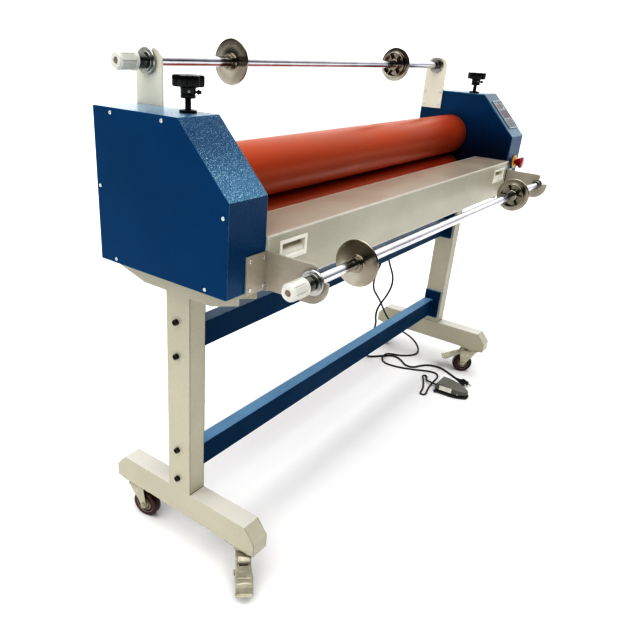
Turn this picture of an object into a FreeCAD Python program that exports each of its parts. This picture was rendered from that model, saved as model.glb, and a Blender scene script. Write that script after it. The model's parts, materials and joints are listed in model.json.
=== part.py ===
import FreeCAD, Part
import math
import os

V = FreeCAD.Vector
os.makedirs("parts", exist_ok=True)

# Cold roll laminator on a wheeled stand, with a foot pedal and a mains lead.
# X runs along the rollers, -Y is the operator's side, +Z is up, millimetres.
# The origin lies on the floor, under the middle of the machine's box.
# Most dimensions are given for the right-hand side (+X) and mirrored to the left.

# ---------------------------------------------------------------- driving dimensions
INNER_X = 701.0            # inner faces of the two side housings
HOUSING_W = 114.0          # width of one housing along X
OUTER_X = INNER_X + HOUSING_W
HOUSING_FRONT = -131.0
HOUSING_BACK = 228.0
HOUSING_BOTTOM = 755.0
HOUSING_TOP = 1070.0
SLOPE_TOP_Y = -4.5         # crease between the top and the sloped face
SLOPE_BOTTOM_Z = 939.0     # crease between the slope and the front face
FRAME_T = 8.0              # steel side frame
SKIN_T = 2.0               # sheet of the housing cover

ROLLER_Y = 99.0
ROLLER_R = 67.5
ROLLER_CORE_R = 60.0
ROLLER_HALF = 693.0
NIP_GAP = 0.5
LOWER_Z = 790.0
UPPER_Z = LOWER_Z + 2 * ROLLER_R + NIP_GAP
JOURNAL_R = 15.0
LIFT = 20.0                # how far the upper roller opens

TABLE_FRONT = -137.0
TABLE_BACK = -13.0
TABLE_TOP = 859.0
TABLE_BOTTOM = 745.0

SCREW_X = 733.0            # pressure screws and their handwheels
SCREW_Y = 47.0
SCREW_R = 6.0

ROD_R = 11.0
SEAT_R = 11.4              # open hooks that hold the rods
FRONT_ROD = (-250.0, 796.0)
TOP_ROD = (189.0, 1153.0)
PLATE_T = 4.0              # rod bracket plates

COLUMN_X0 = 709.0
COLUMN_X1 = 759.0
COLUMN_X = (COLUMN_X0 + COLUMN_X1) / 2
COLUMN_Y0 = 18.0
COLUMN_Y1 = 88.0
TUBE_WALL = 3.0
FOOT_Y0 = -186.0
FOOT_Y1 = 287.0
FOOT_Z0 = 109.0
FOOT_Z1 = 180.0

CASTER_FRONT_Y = -135.0
CASTER_REAR_Y = 235.0
WHEEL_R = 37.5
WHEEL_HALF_W = 12.0
TRAIL = 27.5               # swivel axis to wheel axle

CLEARANCE = 0.3            # gap between parts that move on each other


# ---------------------------------------------------------------- helpers
def box(x0, x1, y0, y1, z0, z1):
    return Part.makeBox(x1 - x0, y1 - y0, z1 - z0, V(x0, y0, z0))


def cyl_x(x0, x1, y, z, r):
    return Part.makeCylinder(r, x1 - x0, V(x0, y, z), V(1, 0, 0))


def cyl_y(y0, y1, x, z, r):
    return Part.makeCylinder(r, y1 - y0, V(x, y0, z), V(0, 1, 0))


def cyl_z(z0, z1, x, y, r):
    return Part.makeCylinder(r, z1 - z0, V(x, y, z0), V(0, 0, 1))


def ring_x(x0, x1, y, z, r_out, r_in):
    return cyl_x(x0, x1, y, z, r_out).cut(cyl_x(x0 - 1, x1 + 1, y, z, r_in))


def prism_x(points_yz, x0, x1):
    wire = Part.makePolygon([V(x0, y, z) for y, z in points_yz + points_yz[:1]])
    return Part.Face(wire).extrude(V(x1 - x0, 0, 0))


def mirrored(shape):
    return shape.mirror(V(0, 0, 0), V(1, 0, 0))


def turned(shape, degrees, x, y):
    copy = shape.copy()
    copy.rotate(V(x, y, 0), V(0, 0, 1), degrees)
    return copy


def moved(shape, x, y, z):
    copy = shape.copy()
    copy.translate(V(x, y, z))
    return copy


def solids_of(shapes):
    found = []
    for shape in shapes:
        found.extend(shape.Solids)
    return found


def save(node, *shapes):
    solids = solids_of(shapes)
    whole = solids[0] if len(solids) == 1 else Part.makeCompound(solids)
    bad = [s for s in solids if not s.isValid() or s.Volume <= 0]
    print(node, len(solids), "solids", round(whole.Volume / 1000, 1), "cm3", "BAD" if bad else "")
    whole.exportStep("parts/" + node + ".step")


def both_sides(node_right, node_left, shape):
    save(node_right, shape)
    save(node_left, mirrored(shape))


# ---------------------------------------------------------------- stand
def foot_profile(inset):
    chamfer_y = 30.0 - inset * 0.4
    chamfer_z = 35.0 - inset * 0.4
    y0 = FOOT_Y0 + inset
    y1 = FOOT_Y1 - inset
    z0 = FOOT_Z0 + inset
    z1 = FOOT_Z1 - inset
    return [(y0, z0), (y1, z0), (y1, z1 - chamfer_z), (y1 - chamfer_y, z1),
            (y0 + chamfer_y, z1), (y0, z1 - chamfer_z)]


def foot_beam():
    outer = prism_x(foot_profile(0), COLUMN_X0, COLUMN_X1)
    inner = prism_x(foot_profile(TUBE_WALL), COLUMN_X0 + TUBE_WALL, COLUMN_X1 - TUBE_WALL)
    return outer.cut(inner)


HEAD_X0 = 700.0            # inner web of the column's wide head
HEAD_LIP = 15.0
HEAD_Y0 = -115.0
HEAD_Y1 = 237.0
BOLT_Y = 57.0
UPPER_BEAM_Z = 581.0
LOWER_BEAM_Z = 243.0
BOLT_RISE = 42.0
BOLT_OFFSET_Z = 13.0       # the bolt pairs sit this far above the beams' middles


def bolt_heights():
    return [z + BOLT_OFFSET_Z + side * BOLT_RISE
            for z in (UPPER_BEAM_Z, LOWER_BEAM_Z) for side in (-1, 1)]


def column():
    """Box tube, with a tapered head welded on top that carries the housing."""
    side = [(HEAD_Y0, HOUSING_BOTTOM), (HEAD_Y0, 724), (-43, 702), (156, 702),
            (HEAD_Y1, 724), (HEAD_Y1, HOUSING_BOTTOM)]
    top_t = 6.0
    head = prism_x(side, HEAD_X0, COLUMN_X1)
    hollow = box(HEAD_X0 + TUBE_WALL, COLUMN_X1 - TUBE_WALL, HEAD_Y0 + TUBE_WALL, HEAD_Y1 - TUBE_WALL,
                 690, HOUSING_BOTTOM - top_t)
    under_lips = box(HEAD_X0 + TUBE_WALL, COLUMN_X1 - TUBE_WALL, HEAD_Y0 - 1, HEAD_Y1 + 1,
                     690, HOUSING_BOTTOM - HEAD_LIP)
    head = head.cut(hollow).cut(under_lips)
    tube = box(COLUMN_X0, COLUMN_X1, COLUMN_Y0, COLUMN_Y1, FOOT_Z1, HOUSING_BOTTOM - top_t)
    tube = tube.cut(box(COLUMN_X0 + TUBE_WALL, COLUMN_X1 - TUBE_WALL, COLUMN_Y0 + TUBE_WALL,
                        COLUMN_Y1 - TUBE_WALL, FOOT_Z1 - 1, HOUSING_BOTTOM - top_t - 0.01))
    tube = tube.fuse(head)
    for z in bolt_heights():
        tube = tube.cut(cyl_x(COLUMN_X0 - 1, COLUMN_X1 + 1, BOLT_Y, z, 4.3))
    return tube.removeSplitter()


def crossbeam(z_mid, height):
    """Blue rectangular tube between the columns, with a bolted plate at each end."""
    y0 = 52.0
    wall = 2.5
    end_x = COLUMN_X0 - 6.0
    half = height / 2
    beam = box(-end_x, end_x, y0, COLUMN_Y1, z_mid - half, z_mid + half)
    beam = beam.cut(box(-end_x - 1, end_x + 1, y0 + wall, COLUMN_Y1 - wall,
                        z_mid - half + wall, z_mid + half - wall))
    plate_mid = z_mid + BOLT_OFFSET_Z
    plate = box(end_x, COLUMN_X0, 26, COLUMN_Y1, plate_mid - 56, plate_mid + 56)
    for side in (-1, 1):
        plate = plate.cut(cyl_x(end_x - 1, COLUMN_X0 + 1, BOLT_Y, plate_mid + side * BOLT_RISE, 4.3))
    return beam.fuse(plate).fuse(mirrored(plate)).removeSplitter()


def crossbeam_bolts():
    bolts = []
    for z in bolt_heights():
        bolt = cyl_x(COLUMN_X0 - 6, COLUMN_X1, BOLT_Y, z, 4.0)
        head = cyl_x(COLUMN_X1, COLUMN_X1 + 8, BOLT_Y, z, 6.5)
        socket = Part.makePolygon([V(COLUMN_X1 + 4, BOLT_Y + 3.4 * math.cos(a), z + 3.4 * math.sin(a))
                                   for a in [math.radians(60 * i) for i in range(7)]])
        head = head.cut(Part.Face(socket).extrude(V(5, 0, 0)))
        bolt = bolt.fuse(head)
        bolts += [bolt, mirrored(bolt)]
    return bolts


# ---------------------------------------------------------------- casters
PLATE_UNDER = FOOT_Z0 - 3.0        # underside of a caster's mounting plate
CROWN_TOP = 96.0
CROWN_UNDER = 92.0
LEG_IN = 14.5                      # inner faces of the fork legs, from the wheel's middle
LEG_OUT = 17.5
BRAKE_PIVOT = (40.0, 78.0)         # along the trail, and up
BRAKE_RELEASE = 30.0               # degrees from pressed down to released


def caster_plate(x, y):
    """Top plate, bearing race and king pin: the half that stays with the stand."""
    plate = box(x - 25, x + 25, y - 38, y + 38, PLATE_UNDER, FOOT_Z0)
    race = cyl_z(CROWN_TOP + CLEARANCE, PLATE_UNDER, x, y, 22)
    pin = cyl_z(86, CROWN_TOP + CLEARANCE, x, y, 5)
    pin_head = cyl_z(86, CROWN_UNDER - CLEARANCE, x, y, 9)
    return plate.fuse(race).fuse(pin).fuse(pin_head).removeSplitter()


def prism_trail(points, x0, x1):
    """Outline in the plane of the wheel: distance along the trail (+Y here) and height."""
    return prism_x(points, x0, x1)


def caster_fork(braked):
    """Fork about the swivel axis at the origin, trailing towards +Y."""
    crown = box(-LEG_OUT, LEG_OUT, -20, 26, CROWN_UNDER, CROWN_TOP)
    crown = crown.fuse(cyl_z(CROWN_UNDER, CROWN_TOP, 0, 0, 22))
    crown = crown.cut(cyl_z(CROWN_UNDER - 1, CROWN_TOP + 1, 0, 0, 5 + CLEARANCE))
    leg_outline = [(-20, CROWN_TOP), (26, CROWN_TOP), (TRAIL + 9, WHEEL_R), (TRAIL - 9, WHEEL_R)]
    if braked:
        leg_outline = [(-20, CROWN_TOP), (40, CROWN_TOP), (45, 84), (44, 73), (TRAIL + 9, WHEEL_R),
                       (TRAIL - 9, WHEEL_R)]
    fork = crown
    for side in (-1, 1):
        x0 = LEG_IN if side > 0 else -LEG_OUT
        leg = prism_trail(leg_outline, x0, x0 + LEG_OUT - LEG_IN)
        leg = leg.fuse(cyl_x(x0, x0 + LEG_OUT - LEG_IN, TRAIL, WHEEL_R, 9))
        fork = fork.fuse(leg)
    hole = cyl_x(-30, 30, TRAIL, WHEEL_R, 4.0)
    fork = fork.cut(hole)
    if braked:
        pivot = cyl_x(-LEG_OUT, LEG_OUT, BRAKE_PIVOT[0], BRAKE_PIVOT[1], 2.5)
        fork = fork.cut(pivot)
    return fork.removeSplitter()


def caster_axle(braked):
    axle = cyl_x(-22, 22, TRAIL, WHEEL_R, 4.0)
    for x0 in (-22, LEG_OUT):
        axle = axle.fuse(cyl_x(x0, x0 + 22 - LEG_OUT, TRAIL, WHEEL_R, 7.0))
    pieces = [axle]
    if braked:
        pieces.append(cyl_x(-LEG_OUT, LEG_OUT, BRAKE_PIVOT[0], BRAKE_PIVOT[1], 2.5))
    return pieces


def caster_wheel():
    """Tread with a dished side and a raised hub, free on its axle."""
    wheel = cyl_x(-WHEEL_HALF_W, WHEEL_HALF_W, TRAIL, WHEEL_R, WHEEL_R)
    wheel = wheel.makeFillet(3.0, [e for e in wheel.Edges if abs(e.Length - 2 * math.pi * WHEEL_R) < 1])
    for x0, x1 in ((-WHEEL_HALF_W - 1, -WHEEL_HALF_W + 3), (WHEEL_HALF_W - 3, WHEEL_HALF_W + 1)):
        wheel = wheel.cut(ring_x(x0, x1, TRAIL, WHEEL_R, 27, 19))
    wheel = wheel.fuse(cyl_x(-14, 14, TRAIL, WHEEL_R, 12))
    return wheel.cut(cyl_x(-15, 15, TRAIL, WHEEL_R, 4.0 + CLEARANCE)).removeSplitter()


def brake_pedal(released):
    """Pressed sheet lever that reaches out over the wheel and ends in a rolled lip."""
    py, pz = BRAKE_PIVOT
    tip = 91.0
    outer = [(py + 10, pz + 4.5), (py + 21, pz - 11), (tip - 5, 28.5), (tip, 28.5), (tip, 26)]
    inner = [(tip - 6.5, 26), (py + 18.8, pz - 12.3), (py + 10, pz + 1)]
    blade = prism_trail(outer + inner, -22, 22)
    blade = blade.fuse(cyl_x(-22, 22, tip, 26.5, 3.0))
    ears = []
    for x0 in (-13.7, 11.7):
        ear = prism_trail([(py - 5, pz - 4), (py + 6, pz - 4), (py + 17, pz - 9), (py + 19, pz - 11),
                           (py + 10, pz + 2.5), (py - 5, pz + 4)], x0, x0 + 2)
        ears.append(ear)
    pedal = blade.fuse(ears)
    pedal = pedal.cut(cyl_x(-15, 15, py, pz, 2.5 + CLEARANCE)).removeSplitter()
    if released:
        pedal.rotate(V(0, py, pz), V(1, 0, 0), BRAKE_RELEASE)
    return pedal


CASTERS = {
    # name: x, y of the swivel axis, degrees from +Y at rest, brake at rest
    "front_left": (-COLUMN_X, CASTER_FRONT_Y, 133.8, "pressed"),
    "front_right": (COLUMN_X, CASTER_FRONT_Y, 32.0, "released"),
    "rear_left": (-COLUMN_X, CASTER_REAR_Y, 190.0, None),
    "rear_right": (COLUMN_X, CASTER_REAR_Y, 0.0, None),
}


def placed_caster(shape, name):
    x, y, degrees, _ = CASTERS[name]
    return moved(turned(shape, degrees, 0, 0), x, y, 0)


# ---------------------------------------------------------------- side frames and housings
def housing_outline(inset):
    """Side view of a housing, every face moved inwards by the inset."""
    rise = HOUSING_TOP - SLOPE_BOTTOM_Z
    run = SLOPE_TOP_Y - HOUSING_FRONT
    angle = math.atan2(rise, run)
    front_cut = inset * math.tan((math.pi / 2 - angle) / 2)
    top_cut = inset * math.tan(angle / 2)
    y0 = HOUSING_FRONT + inset
    y1 = HOUSING_BACK - inset
    z0 = HOUSING_BOTTOM + inset
    z1 = HOUSING_TOP - inset
    return [(y0, z0), (y1, z0), (y1, z1), (SLOPE_TOP_Y + top_cut, z1), (y0, SLOPE_BOTTOM_Z - front_cut)]


BLOCK_Y0 = 27.0                    # sliding bearing block of the upper roller
BLOCK_Y1 = 127.0
BLOCK_X0 = INNER_X + FRAME_T + 4.0
BLOCK_X1 = 753.0
BLOCK_Z0 = 894.0
BLOCK_Z1 = 1000.0
MOTOR_Y = -60.0
MOTOR_Z = 803.0
PANEL_SCREWS = [(176, 1061), (34, 1061), (218, 914), (-120, 911), (-77, 764), (179, 764)]
SCREW_HOLE_R = 2.1
BRACKET_SCREW_X = (707.5, 750.0)   # on the housing's front face
BRACKET_SCREW_Z = (760.5, 818.5)
REAR_SCREW_Y = (160.0, 218.0)      # on the side frame's inner face
REAR_SCREW_Z = (1019.5, 1062.5)
STOP_X = 774.0
STOP_Z = 849.0


def side_frame(right):
    """Steel plate with the roller bearings' openings and the guides of the sliding block."""
    x0 = INNER_X
    x1 = INNER_X + FRAME_T
    plate = prism_x(housing_outline(SKIN_T), x0, x1)
    plate = plate.cut(cyl_x(x0 - 1, x1 + 1, ROLLER_Y, LOWER_Z, 22))
    slot = cyl_x(x0 - 1, x1 + 1, ROLLER_Y, UPPER_Z, 20)
    slot = slot.fuse(cyl_x(x0 - 1, x1 + 1, ROLLER_Y, UPPER_Z + LIFT, 20))
    slot = slot.fuse(box(x0 - 1, x1 + 1, ROLLER_Y - 20, ROLLER_Y + 20, UPPER_Z, UPPER_Z + LIFT))
    plate = plate.cut(slot)
    for y0, y1 in ((BLOCK_Y0 - 8, BLOCK_Y0 - CLEARANCE), (BLOCK_Y1 + CLEARANCE, BLOCK_Y1 + 8)):
        plate = plate.fuse(box(x1, BLOCK_X1 + 4, y0, y1, BLOCK_Z0 - 6, BLOCK_Z1 + LIFT + 2))
    stop = box(x1, BLOCK_X1, BLOCK_Y0 - 8, BLOCK_Y1 + 8, BLOCK_Z0 - 14, BLOCK_Z0 - CLEARANCE)
    plate = plate.fuse(stop)
    for y in REAR_SCREW_Y:
        for z in REAR_SCREW_Z:
            plate = plate.cut(cyl_x(x0 - 1, x1 + 1, y, z, SCREW_HOLE_R))
    if right:
        plate = plate.cut(cyl_x(x0 - 1, x1 + 1, MOTOR_Y, MOTOR_Z, 10))
        for y, z in GLANDS:
            plate = plate.cut(cyl_x(x0 - 1, x1 + 1, y, z, 6.0))
    return plate.removeSplitter()


GLANDS = ((210.0, 775.0), (186.0, 775.0))      # mains lead, pedal lead


def housing_band(right):
    """Sheet wrapped round the side frame: bottom, back, top, slope and front."""
    x0 = INNER_X + FRAME_T
    x1 = OUTER_X - SKIN_T
    band = prism_x(housing_outline(0), INNER_X, x1).cut(prism_x(housing_outline(SKIN_T), INNER_X - 1, x1 + 1))
    for y, z in PANEL_SCREWS:
        tab_y0 = max(y - 10, HOUSING_FRONT + SKIN_T)
        tab_y1 = min(y + 10, HOUSING_BACK - SKIN_T)
        if z > 1000:
            tab = box(x1 - 2, x1, y - 10, y + 10, z - 8, HOUSING_TOP - SKIN_T)
        elif z < 800:
            tab = box(x1 - 2, x1, y - 10, y + 10, HOUSING_BOTTOM + SKIN_T, z + 8)
        elif y > 0:
            tab = box(x1 - 2, x1, y - 8, tab_y1, z - 10, z + 10)
        else:
            tab = box(x1 - 2, x1, tab_y0, y + 8, z - 10, z + 10)
        band = band.fuse(tab.cut(cyl_x(x1 - 5, x1 + 1, y, z, SCREW_HOLE_R)))
    band = band.cut(cyl_z(HOUSING_TOP - 5, HOUSING_TOP + 5, SCREW_X, SCREW_Y, 9.0))
    for x in BRACKET_SCREW_X:
        for z in BRACKET_SCREW_Z:
            band = band.cut(cyl_y(HOUSING_FRONT - 1, HOUSING_FRONT + 5, x, z, SCREW_HOLE_R))
    if right:
        band = band.cut(cyl_y(HOUSING_FRONT - 1, HOUSING_FRONT + 5, STOP_X, STOP_Z, 11.0))
    return band.removeSplitter()


def end_panel():
    panel = prism_x(housing_outline(0), OUTER_X - SKIN_T, OUTER_X)
    for y, z in PANEL_SCREWS:
        panel = panel.cut(cyl_x(OUTER_X - 5, OUTER_X + 1, y, z, SCREW_HOLE_R))
    return panel


def screw(r_head, head_h, r_shank, shank):
    """Pan-head screw along +X, its head's underside at the origin, head towards +X."""
    head = cyl_x(0, head_h, 0, 0, r_head)
    head = head.makeFillet(head_h * 0.6, [e for e in head.Edges
                                          if abs(e.BoundBox.XMin - head_h) < 1e-6 and e.Length > r_head])
    slot = box(head_h - 0.8, head_h + 1, -r_head * 0.6, r_head * 0.6, -0.5, 0.5)
    cross = box(head_h - 0.8, head_h + 1, -0.5, 0.5, -r_head * 0.6, r_head * 0.6)
    return head.cut(slot).cut(cross).fuse(cyl_x(-shank, 0, 0, 0, r_shank))


def cover_screws():
    """The silver pan-head screws of the end panels and of the rod brackets."""
    pan = screw(4.2, 2.2, 1.9, 8.0)
    right = [moved(pan, OUTER_X, y, z) for y, z in PANEL_SCREWS]
    front = screw(4.2, 2.2, 1.9, PLATE_T + SKIN_T)
    front.rotate(V(0, 0, 0), V(0, 0, 1), -90)
    inner = pan.copy()
    inner.rotate(V(0, 0, 0), V(0, 0, 1), 180)
    for x in BRACKET_SCREW_X:
        for z in BRACKET_SCREW_Z:
            right.append(moved(front, x, HOUSING_FRONT - PLATE_T, z))
    for y in REAR_SCREW_Y:
        for z in REAR_SCREW_Z:
            right.append(moved(inner, INNER_X - PLATE_T, y, z))
    return right + [mirrored(s) for s in right]


def tie_bars():
    """Two square tubes that hold the side frames apart."""
    bars = []
    for y0, y1, z0, z1 in ((-126, -106, 757, 797), (190, 215, 815, 855)):
        bar = box(-INNER_X, INNER_X, y0, y1, z0, z1)
        bars.append(bar.cut(box(-INNER_X - 1, INNER_X + 1, y0 + 2, y1 - 2, z0 + 2, z1 - 2)))
    return bars


def lower_bearing():
    """Round bearing housing on the outer side of the right side frame."""
    x0 = INNER_X + FRAME_T
    hub = cyl_x(x0, x0 + 18, ROLLER_Y, LOWER_Z, 32)
    return hub.cut(cyl_x(x0 - 1, x0 + 19, ROLLER_Y, LOWER_Z, JOURNAL_R + 0.05))


# ---------------------------------------------------------------- feed table
GRIP_X = 614.0
GRIP_W = 96.0
GRIP_Z0 = 797.0
GRIP_Z1 = 842.0


def feed_table():
    """Folded sheet: flat top, front apron, lip under it, back fold and two end flanges."""
    t = SKIN_T
    half = INNER_X - 4.0
    top = box(-half, half, TABLE_FRONT, TABLE_BACK, TABLE_TOP - t, TABLE_TOP)
    apron = box(-half, half, TABLE_FRONT, TABLE_FRONT + t, TABLE_BOTTOM, TABLE_TOP)
    lip = box(-half, half, TABLE_FRONT, TABLE_FRONT + 18, TABLE_BOTTOM, TABLE_BOTTOM + t)
    back = box(-half, half, TABLE_BACK - t, TABLE_BACK, TABLE_TOP - 24, TABLE_TOP)
    table = top.fuse([apron, lip, back])
    for side in (-1, 1):
        x0 = INNER_X - t if side > 0 else -INNER_X
        flange = box(x0, x0 + t, HOUSING_FRONT + 3, TABLE_BACK, TABLE_TOP - 12, TABLE_TOP - t)
        web = box(min(x0, x0 - side * 4), max(x0, x0 - side * 4) + t, HOUSING_FRONT + 3, TABLE_BACK,
                  TABLE_TOP - t, TABLE_TOP)
        cheek = box(min(x0, x0 - side * 4), max(x0, x0 - side * 4) + t, TABLE_FRONT, TABLE_FRONT + t,
                    829.5, TABLE_TOP)
        corner = box(min(x0, x0 - side * 4), max(x0, x0 - side * 4) + t, TABLE_FRONT, HOUSING_FRONT + 3,
                     TABLE_TOP - t, TABLE_TOP)
        table = table.fuse([flange, web, cheek, corner])
        gx = side * GRIP_X
        window = box(gx - GRIP_W / 2 + 5.8, gx + GRIP_W / 2 - 5.8, TABLE_FRONT - 1, TABLE_FRONT + t + 1,
                     GRIP_Z0 + 5.8, GRIP_Z1 - 5.8)
        table = table.cut(window)
    table = table.removeSplitter()
    edge = [e for e in table.Edges
            if abs(e.BoundBox.YMin - TABLE_FRONT) < 1e-6 and abs(e.BoundBox.YMax - TABLE_FRONT) < 1e-6
            and abs(e.BoundBox.ZMin - TABLE_TOP) < 1e-6 and e.Length > 1000]
    return table.makeFillet(1.9, edge)


def table_grips():
    """Recessed finger pulls: frame, hollow cup and a lip that stands out at the bottom."""
    grips = []
    for gx in (-GRIP_X, GRIP_X):
        x0 = gx - GRIP_W / 2
        x1 = gx + GRIP_W / 2
        y = TABLE_FRONT
        frame = box(x0, x1, y - 2, y, GRIP_Z0, GRIP_Z1)
        cup = box(x0 + 6, x1 - 6, y, y + 20, GRIP_Z0 + 6, GRIP_Z1 - 6)
        grip = frame.fuse(cup)
        grip = grip.cut(box(x0 + 8, x1 - 8, y - 3, y + 18, GRIP_Z0 + 8, GRIP_Z1 - 8))
        scoop = cyl_x(x0 + 7, x1 - 7, y + 18, GRIP_Z0 + 7, 17)
        scoop = scoop.common(box(x0, x1, y, y + 18.5, GRIP_Z0 + 6, GRIP_Z1 - 8))
        lip = cyl_x(x0 + 6, x1 - 6, y - 2, GRIP_Z0 + 9, 2.6)
        grips.append(grip.fuse(scoop).fuse(lip).removeSplitter())
    return grips


# ---------------------------------------------------------------- rollers and drive
SPROCKET_PITCH = 9.525
ROLLER_TEETH = 18
MOTOR_TEETH = 12
CHAIN_X0 = 738.0
CHAIN_W = 6.0
CHAIN_HALF_H = 3.6


def pitch_radius(teeth):
    return SPROCKET_PITCH / (2 * math.sin(math.pi / teeth))


def roller_cover(z):
    cover = ring_x(-ROLLER_HALF, ROLLER_HALF, ROLLER_Y, z, ROLLER_R, ROLLER_CORE_R)
    rims = [e for e in cover.Edges if abs(e.Length - 2 * math.pi * ROLLER_R) < 1]
    return cover.makeFillet(2.5, rims)


def roller_core(z, journal_end):
    """Steel tube with plugged ends and a turned journal each side."""
    tube = ring_x(-ROLLER_HALF + 3, ROLLER_HALF - 3, ROLLER_Y, z, ROLLER_CORE_R, ROLLER_CORE_R - 6)
    core = tube
    for side in (-1, 1):
        plug_x0 = ROLLER_HALF - 15 if side > 0 else -ROLLER_HALF + 3
        core = core.fuse(cyl_x(plug_x0, plug_x0 + 12, ROLLER_Y, z, ROLLER_CORE_R))
        shaft_x0 = ROLLER_HALF - 20 if side > 0 else -journal_end
        core = core.fuse(cyl_x(shaft_x0, shaft_x0 + journal_end - ROLLER_HALF + 20, ROLLER_Y, z, JOURNAL_R))
    return core.removeSplitter()


def sprocket(y, z, teeth, bore_r):
    """Grooved disc that carries the chain, with a hub towards the bearing."""
    r = pitch_radius(teeth) - CHAIN_HALF_H - CLEARANCE
    disc = cyl_x(CHAIN_X0 - 3, CHAIN_X0 + CHAIN_W + 3, y, z, r)
    hub = cyl_x(CHAIN_X0 - 8, CHAIN_X0 + CHAIN_W + 5, y, z, min(r, bore_r + 6))
    return disc.fuse(hub).removeSplitter()


def drive_chain():
    """Closed loop round both pitch circles."""
    r_big = pitch_radius(ROLLER_TEETH)
    r_small = pitch_radius(MOTOR_TEETH)

    def loop(grow):
        big = r_big + grow
        small = r_small + grow
        dy = MOTOR_Y - ROLLER_Y
        dz = MOTOR_Z - LOWER_Z
        distance = math.hypot(dy, dz)
        base = math.atan2(dz, dy)
        lean = math.acos((big - small) / distance)
        corners = []
        for cy, cz, r, sign in ((ROLLER_Y, LOWER_Z, big, 1), (MOTOR_Y, MOTOR_Z, small, 1),
                                (MOTOR_Y, MOTOR_Z, small, -1), (ROLLER_Y, LOWER_Z, big, -1)):
            a = base + sign * lean
            corners.append((cy + r * math.cos(a), cz + r * math.sin(a)))
        middle = prism_x(corners, CHAIN_X0, CHAIN_X0 + CHAIN_W)
        return middle.fuse([cyl_x(CHAIN_X0, CHAIN_X0 + CHAIN_W, ROLLER_Y, LOWER_Z, big),
                            cyl_x(CHAIN_X0, CHAIN_X0 + CHAIN_W, MOTOR_Y, MOTOR_Z, small)])

    return loop(CHAIN_HALF_H).cut(loop(-CHAIN_HALF_H)).removeSplitter()


def drive_motor():
    """Gear motor under the table: square gearbox on the side frame, round motor behind it."""
    gearbox = box(INNER_X - 62, INNER_X, MOTOR_Y - 40, MOTOR_Y + 40, MOTOR_Z - 40, MOTOR_Z + 40)
    body = cyl_x(INNER_X - 190, INNER_X - 62, MOTOR_Y, MOTOR_Z, 38)
    cap = cyl_x(INNER_X - 202, INNER_X - 190, MOTOR_Y, MOTOR_Z, 34)
    motor = gearbox.fuse(body).fuse(cap)
    return motor.cut(cyl_x(INNER_X - 14, INNER_X + 1, MOTOR_Y, MOTOR_Z, 7 + CLEARANCE)).removeSplitter()


def motor_sprocket():
    shaft = cyl_x(INNER_X - 12, CHAIN_X0 + CHAIN_W + 5, MOTOR_Y, MOTOR_Z, 7)
    return shaft.fuse(sprocket(MOTOR_Y, MOTOR_Z, MOTOR_TEETH, 7)).removeSplitter()


def bearing_block():
    """Block that slides in the guides; the journal turns in it and the screw lifts it."""
    block = box(BLOCK_X0, BLOCK_X1, BLOCK_Y0, BLOCK_Y1, BLOCK_Z0, BLOCK_Z1)
    block = block.cut(cyl_x(BLOCK_X0 - 1, BLOCK_X1 + 1, ROLLER_Y, UPPER_Z, JOURNAL_R + 0.05))
    return block.cut(cyl_z(BLOCK_Z1 - 44, BLOCK_Z1 + 1, SCREW_X, SCREW_Y, SCREW_R + CLEARANCE))


def pressure_bush():
    """Black flanged bush in the housing's top, where the pressure screw turns."""
    bush = cyl_z(HOUSING_TOP, HOUSING_TOP + 6, SCREW_X, SCREW_Y, 17)
    bush = bush.fuse(cyl_z(HOUSING_TOP - 12, HOUSING_TOP, SCREW_X, SCREW_Y, 8.9))
    return bush.cut(cyl_z(HOUSING_TOP - 20, HOUSING_TOP + 20, SCREW_X, SCREW_Y, SCREW_R + CLEARANCE))


KNOB_BOTTOM = 1116.0
KNOB_TOP = 1137.0
KNOB_LOBES = 7


def handwheel():
    """Lobed black knob on a hub with two clamping screws."""
    knob = cyl_z(KNOB_BOTTOM, KNOB_TOP, SCREW_X, SCREW_Y, 27)
    for i in range(KNOB_LOBES):
        a = 2 * math.pi * i / KNOB_LOBES
        knob = knob.fuse(cyl_z(KNOB_BOTTOM, KNOB_TOP, SCREW_X + 22.5 * math.cos(a),
                               SCREW_Y + 22.5 * math.sin(a), 8.5))
    for i in range(KNOB_LOBES):
        a = 2 * math.pi * (i + 0.5) / KNOB_LOBES
        knob = knob.cut(cyl_z(KNOB_BOTTOM - 1, KNOB_TOP + 1, SCREW_X + 31.5 * math.cos(a),
                              SCREW_Y + 31.5 * math.sin(a), 6.5))
    hub = cyl_z(KNOB_BOTTOM - 20, KNOB_BOTTOM, SCREW_X, SCREW_Y, 14.5)
    knob = knob.fuse(hub).cut(cyl_z(KNOB_BOTTOM - 21, KNOB_TOP - 5, SCREW_X, SCREW_Y, SCREW_R))
    wheel = knob.removeSplitter()
    thumb = Part.makeCylinder(2.5, 11, V(SCREW_X, SCREW_Y, KNOB_BOTTOM - 9)
                              + V(0.6, -0.8, 0) * 14.2, V(0.6, -0.8, 0))
    return wheel.fuse(thumb).removeSplitter()


def pressure_screw():
    return cyl_z(BLOCK_Z1 - 20, KNOB_TOP - 5, SCREW_X, SCREW_Y, SCREW_R)


# ---------------------------------------------------------------- controls
SLOPE_LEN = math.hypot(SLOPE_TOP_Y - HOUSING_FRONT, HOUSING_TOP - SLOPE_BOTTOM_Z)
SLOPE_DEG = math.degrees(math.atan2(HOUSING_TOP - SLOPE_BOTTOM_Z, SLOPE_TOP_Y - HOUSING_FRONT))
PANEL_X0 = 727.0
PANEL_X1 = 811.0
PANEL_S0 = 34.0            # distances up the slope
PANEL_S1 = 150.0
PANEL_T = 3.0
KEY_R = 7.0
KEY_S = 131.0
STOP_KEY_X = 748.0
START_KEY_X = 791.0


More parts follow.
